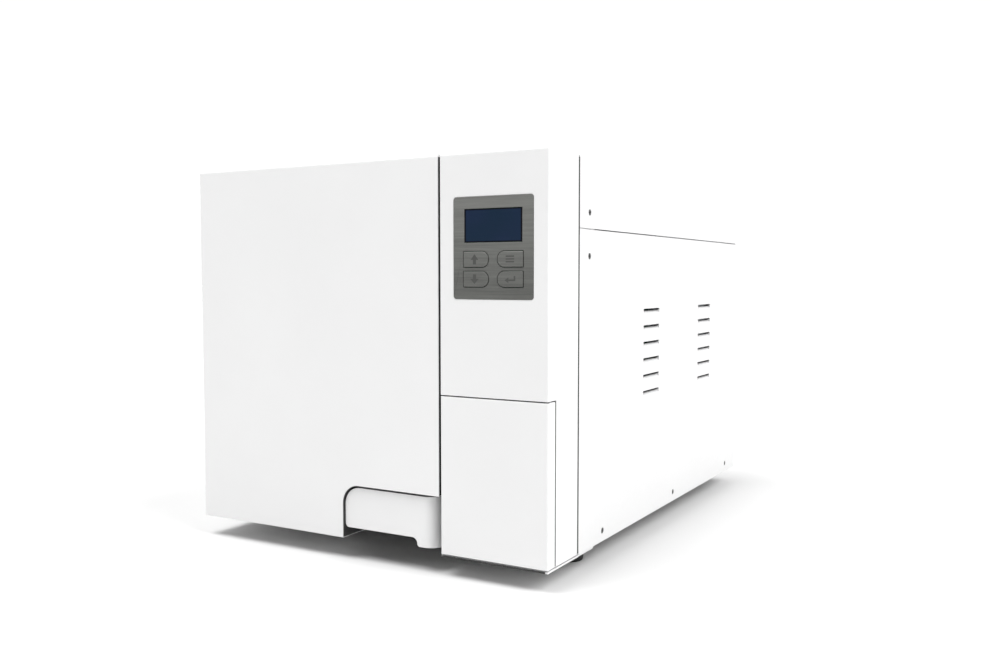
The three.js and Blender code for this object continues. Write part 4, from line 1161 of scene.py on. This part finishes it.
def latch():
    x, pivot = LEVER_X, (LEVER_X, LEVER_D, 0)
    shaft = [(0, LS[4]), (7, LS[4]), (7, LS[5] - 1), (6, LS[5]), (0, LS[5])]
    parts = [turned(shaft, "z", pivot, 48)]
    for z in HOOKS:
        arm = [(x - 6, LEVER_D + 4), (x + 6, LEVER_D + 4), (x + 4, 79), (x + 9, 81), (x + 9, 84)]
        arm += [(x + 6, 86.4), (x + 2, 88), (x - 3, 87), (x - 5, 85)]
        hook = prism(arm, "z", z, z + HOOK_HEIGHT)
        soften(hook, edges_by([], 0.6), 0.6, 2)
        eye = turned(rounded(6.5, z, 12, z + HOOK_HEIGHT, 0.8, 3), "z", pivot, 48)
        parts += [baked(hook), eye]
    return gathered(*parts)


finish(latch(), "latch_assembly", "lever", "zinc_steel", "latch_shaft")

HP = extent("hinge_post")
post = [(0, HP[4]), (3.4, HP[4]), (4, HP[4] + 0.6), (4, LUGS[0] + 6.5), (6.4, LUGS[0] + 6.5)]
post += [(6.4, LUGS[1] - 0.5), (4, LUGS[1] - 0.5), (4, HP[5] - 0.6), (3.4, HP[5]), (0, HP[5])]
pin = turned(post, "z", (HINGE_X, HINGE_D, 0), 48)
finish(pin, "hinge_pin", "door", "zinc_steel", "hinge_post")

PORT = [(0, 100), (3.2, 99.7), (4, 100.5), (6, 107.7), (4.5, 107.9), (4.5, 112), (5.6, 114)]
PORT += [(4.5, 114.4), (4.5, 123.7), (9.4, 123.7), (10, 124.4), (10, 134), (9.4, 134.7)]
PORT += [(13, 135.2), (13, 137.7), (0, 137.7)]
for node, collar in (("drain_port_clean", "blue_moulding"), ("drain_port_waste", "red_moulding")):
    _, _, d0, d1, _, _ = extent(node)
    centre = axis_through(node)
    profile = [(r, min(max(d, d0), d1)) for r, d in PORT]
    finish(turned(profile, "d", centre, 48), node + "_coupling", "chassis", "brass", node)
    tag = turned(rounded(10.1, 126, 11.6, 132, 0.5, 3), "d", centre, 48)
    finish(tag, node + "_collar", "chassis", collar, slot="black_moulding")

_, _, d0, d1, _, _ = extent("air_filter")
FILTER = [(0, d0), (8.2, d0), (9, d0 + 0.8), (9, d0 + 7)] + arc(18, d0 + 12, 3, -90, 0, 5)
FILTER += [(21, d0 + 20), (20, d0 + 20.6), (20, d0 + 22), (21, d0 + 22.6), (21, d0 + 37)]
FILTER += arc(18, d1 - 18, 3, 0, 90, 5) + [(9, d1 - 14), (9, d1), (0, d1)]
capsule = turned(FILTER, "d", axis_through("air_filter"), 72)
finish(capsule, "filter_capsule", "chassis", "filter_moulding", "air_filter")

# ---------------------------------------------------------------- rear fittings

_, _, d0, d1, _, _ = extent("safety_valve")
VALVE = [(0, d0), (6, d0), (6, d0 + 20), (9, d0 + 20), (9, d1 - 11), (11, d1 - 11), (11, d1 - 2.5)]
VALVE += [(10.2, d1 - 1.6), (6, d1 - 1), (6, d1), (0, d1)]
valve = turned(VALVE, "d", axis_through("safety_valve"), 60)
finish(valve, "valve_cap", "chassis", "brass", "safety_valve")

ROCKER_X = 190
ROCKER_FACE = [(132.15, 130.73), (135.525, 140.35), (134.94, 150.53)]  # (d, z) up the two sloping halves


def rocker_marks():
    """The rocker's ring and bar, each a thin print that follows the half it is on."""
    halves = []
    for (d_low, z_low), (d_high, z_high) in zip(ROCKER_FACE, ROCKER_FACE[1:]):
        proud = [(d_low - 0.12, z_low), (d_high - 0.12, z_high)]
        sunk = [(d_high + 0.1, z_high), (d_low + 0.1, z_low)]
        halves.append(prism(proud + sunk, "x", ROCKER_X - 10, ROCKER_X + 10))
    centre = (ROCKER_X, 0, 135.6)
    ring_mark = cut(common(halves[0], bar("d", centre, 2.3, 130, 138)), bar("d", centre, 1.6, 129, 139))
    bar_mark = common(halves[1], block(ROCKER_X - 0.45, ROCKER_X + 0.45, 130, 140, 143.4, 147.8))
    return gathered(ring_mark, bar_mark)


finish(rocker_marks(), "rocker_marks", "rocker", "white_ink", slot="white_moulding")

# ---------------------------------------------------------------- CAD nodes that stay

for node, obj in frame["nodes"].items():
    if obj.hide_render:
        continue
    slot = next(s["material_slot"] for s in frame["record"]["subparts"] if s["node"] == node)
    obj.data.materials.clear()
    obj.data.materials.append(MAT[slot])
    bevel = obj.modifiers.new("edge_rounding", "BEVEL")
    bevel.width = 0.35 * MM
    bevel.segments = 2
    bevel.limit_method = "ANGLE"
    bevel.angle_limit = math.radians(50)
    bevel.harden_normals = True

# ---------------------------------------------------------------- floor, light and camera

bpy.ops.mesh.primitive_plane_add(size=60)
floor = bpy.context.object
floor.name = "floor"
floor.location.z = -0.4 * MM
floor.data.materials.append(MAT["floor"])

BACKDROP = (-0.497, 0.868, 0)  # the side of the studio that the white backdrop fills


def studio(dim, white, top):
    """A dim room with a bright backdrop on one side and a bright ceiling, before a white background."""
    world = bpy.data.worlds.new("studio")
    scene.world = world
    world.use_nodes = True
    nodes, links = world.node_tree.nodes, world.node_tree.links
    direction = nodes.new("ShaderNodeTexCoord").outputs["Generated"]
    toward = nodes.new("ShaderNodeVectorMath")
    toward.operation = "DOT_PRODUCT"
    toward.inputs[1].default_value = BACKDROP
    links.new(direction, toward.inputs[0])
    split = nodes.new("ShaderNodeSeparateXYZ")
    links.new(direction, split.inputs["Vector"])
    levels = []
    for source, start, end, low, high in (
        (toward.outputs["Value"], 0.3, 0.75, dim, white),
        (split.outputs["Z"], 0.45, 0.9, 0.0, top),
    ):
        span = nodes.new("ShaderNodeMapRange")
        span.interpolation_type = "SMOOTHSTEP"
        fill(span, From_Min=start, From_Max=end, To_Min=low, To_Max=high)
        links.new(source, span.inputs["Value"])
        levels.append(span.outputs["Result"])
    seen = nodes.new("ShaderNodeLightPath").outputs["Is Camera Ray"]
    level = levels[0]
    for other in (levels[1], seen):
        most = nodes.new("ShaderNodeMath")
        most.operation = "MAXIMUM"
        links.new(level, most.inputs[0])
        links.new(other, most.inputs[1])
        level = most.outputs["Value"]
    links.new(level, nodes["Background"].inputs["Strength"])
    nodes["Background"].inputs["Color"].default_value = (1, 1, 1, 1)


studio(dim=0.4, white=1.06, top=0.6)


def sun(name, azimuth, elevation, spread, strength):
    """A broad soft light from far off. Azimuth 0 comes from the front and 90 from the right."""
    data = bpy.data.lights.new(name, "SUN")
    data.energy = strength
    data.angle = math.radians(spread)
    a, e = math.radians(azimuth), math.radians(elevation)
    toward = Vector((math.sin(a) * math.cos(e), -math.cos(a) * math.cos(e), math.sin(e)))
    lamp = bpy.data.objects.new(name, data)
    lamp.rotation_euler = toward.to_track_quat("Z", "Y").to_euler()
    scene.collection.objects.link(lamp)


sun("front_softbox", azimuth=-48, elevation=68, spread=34, strength=2.65)
sun("right_softbox", azimuth=95, elevation=48, spread=40, strength=2.5)

camera_data = bpy.data.cameras.new("camera")
camera_data.lens = 35.2
camera_data.sensor_width = 36
camera_data.clip_end = 100
camera = bpy.data.objects.new("camera", camera_data)
camera.location = (631.69 * MM, (FRONT - 804.64) * MM, 296.97 * MM)
camera.rotation_euler = (math.radians(90 - 3.380), 0, math.radians(29.766))
scene.collection.objects.link(camera)
scene.camera = camera
scene.view_settings.view_transform = "Standard"
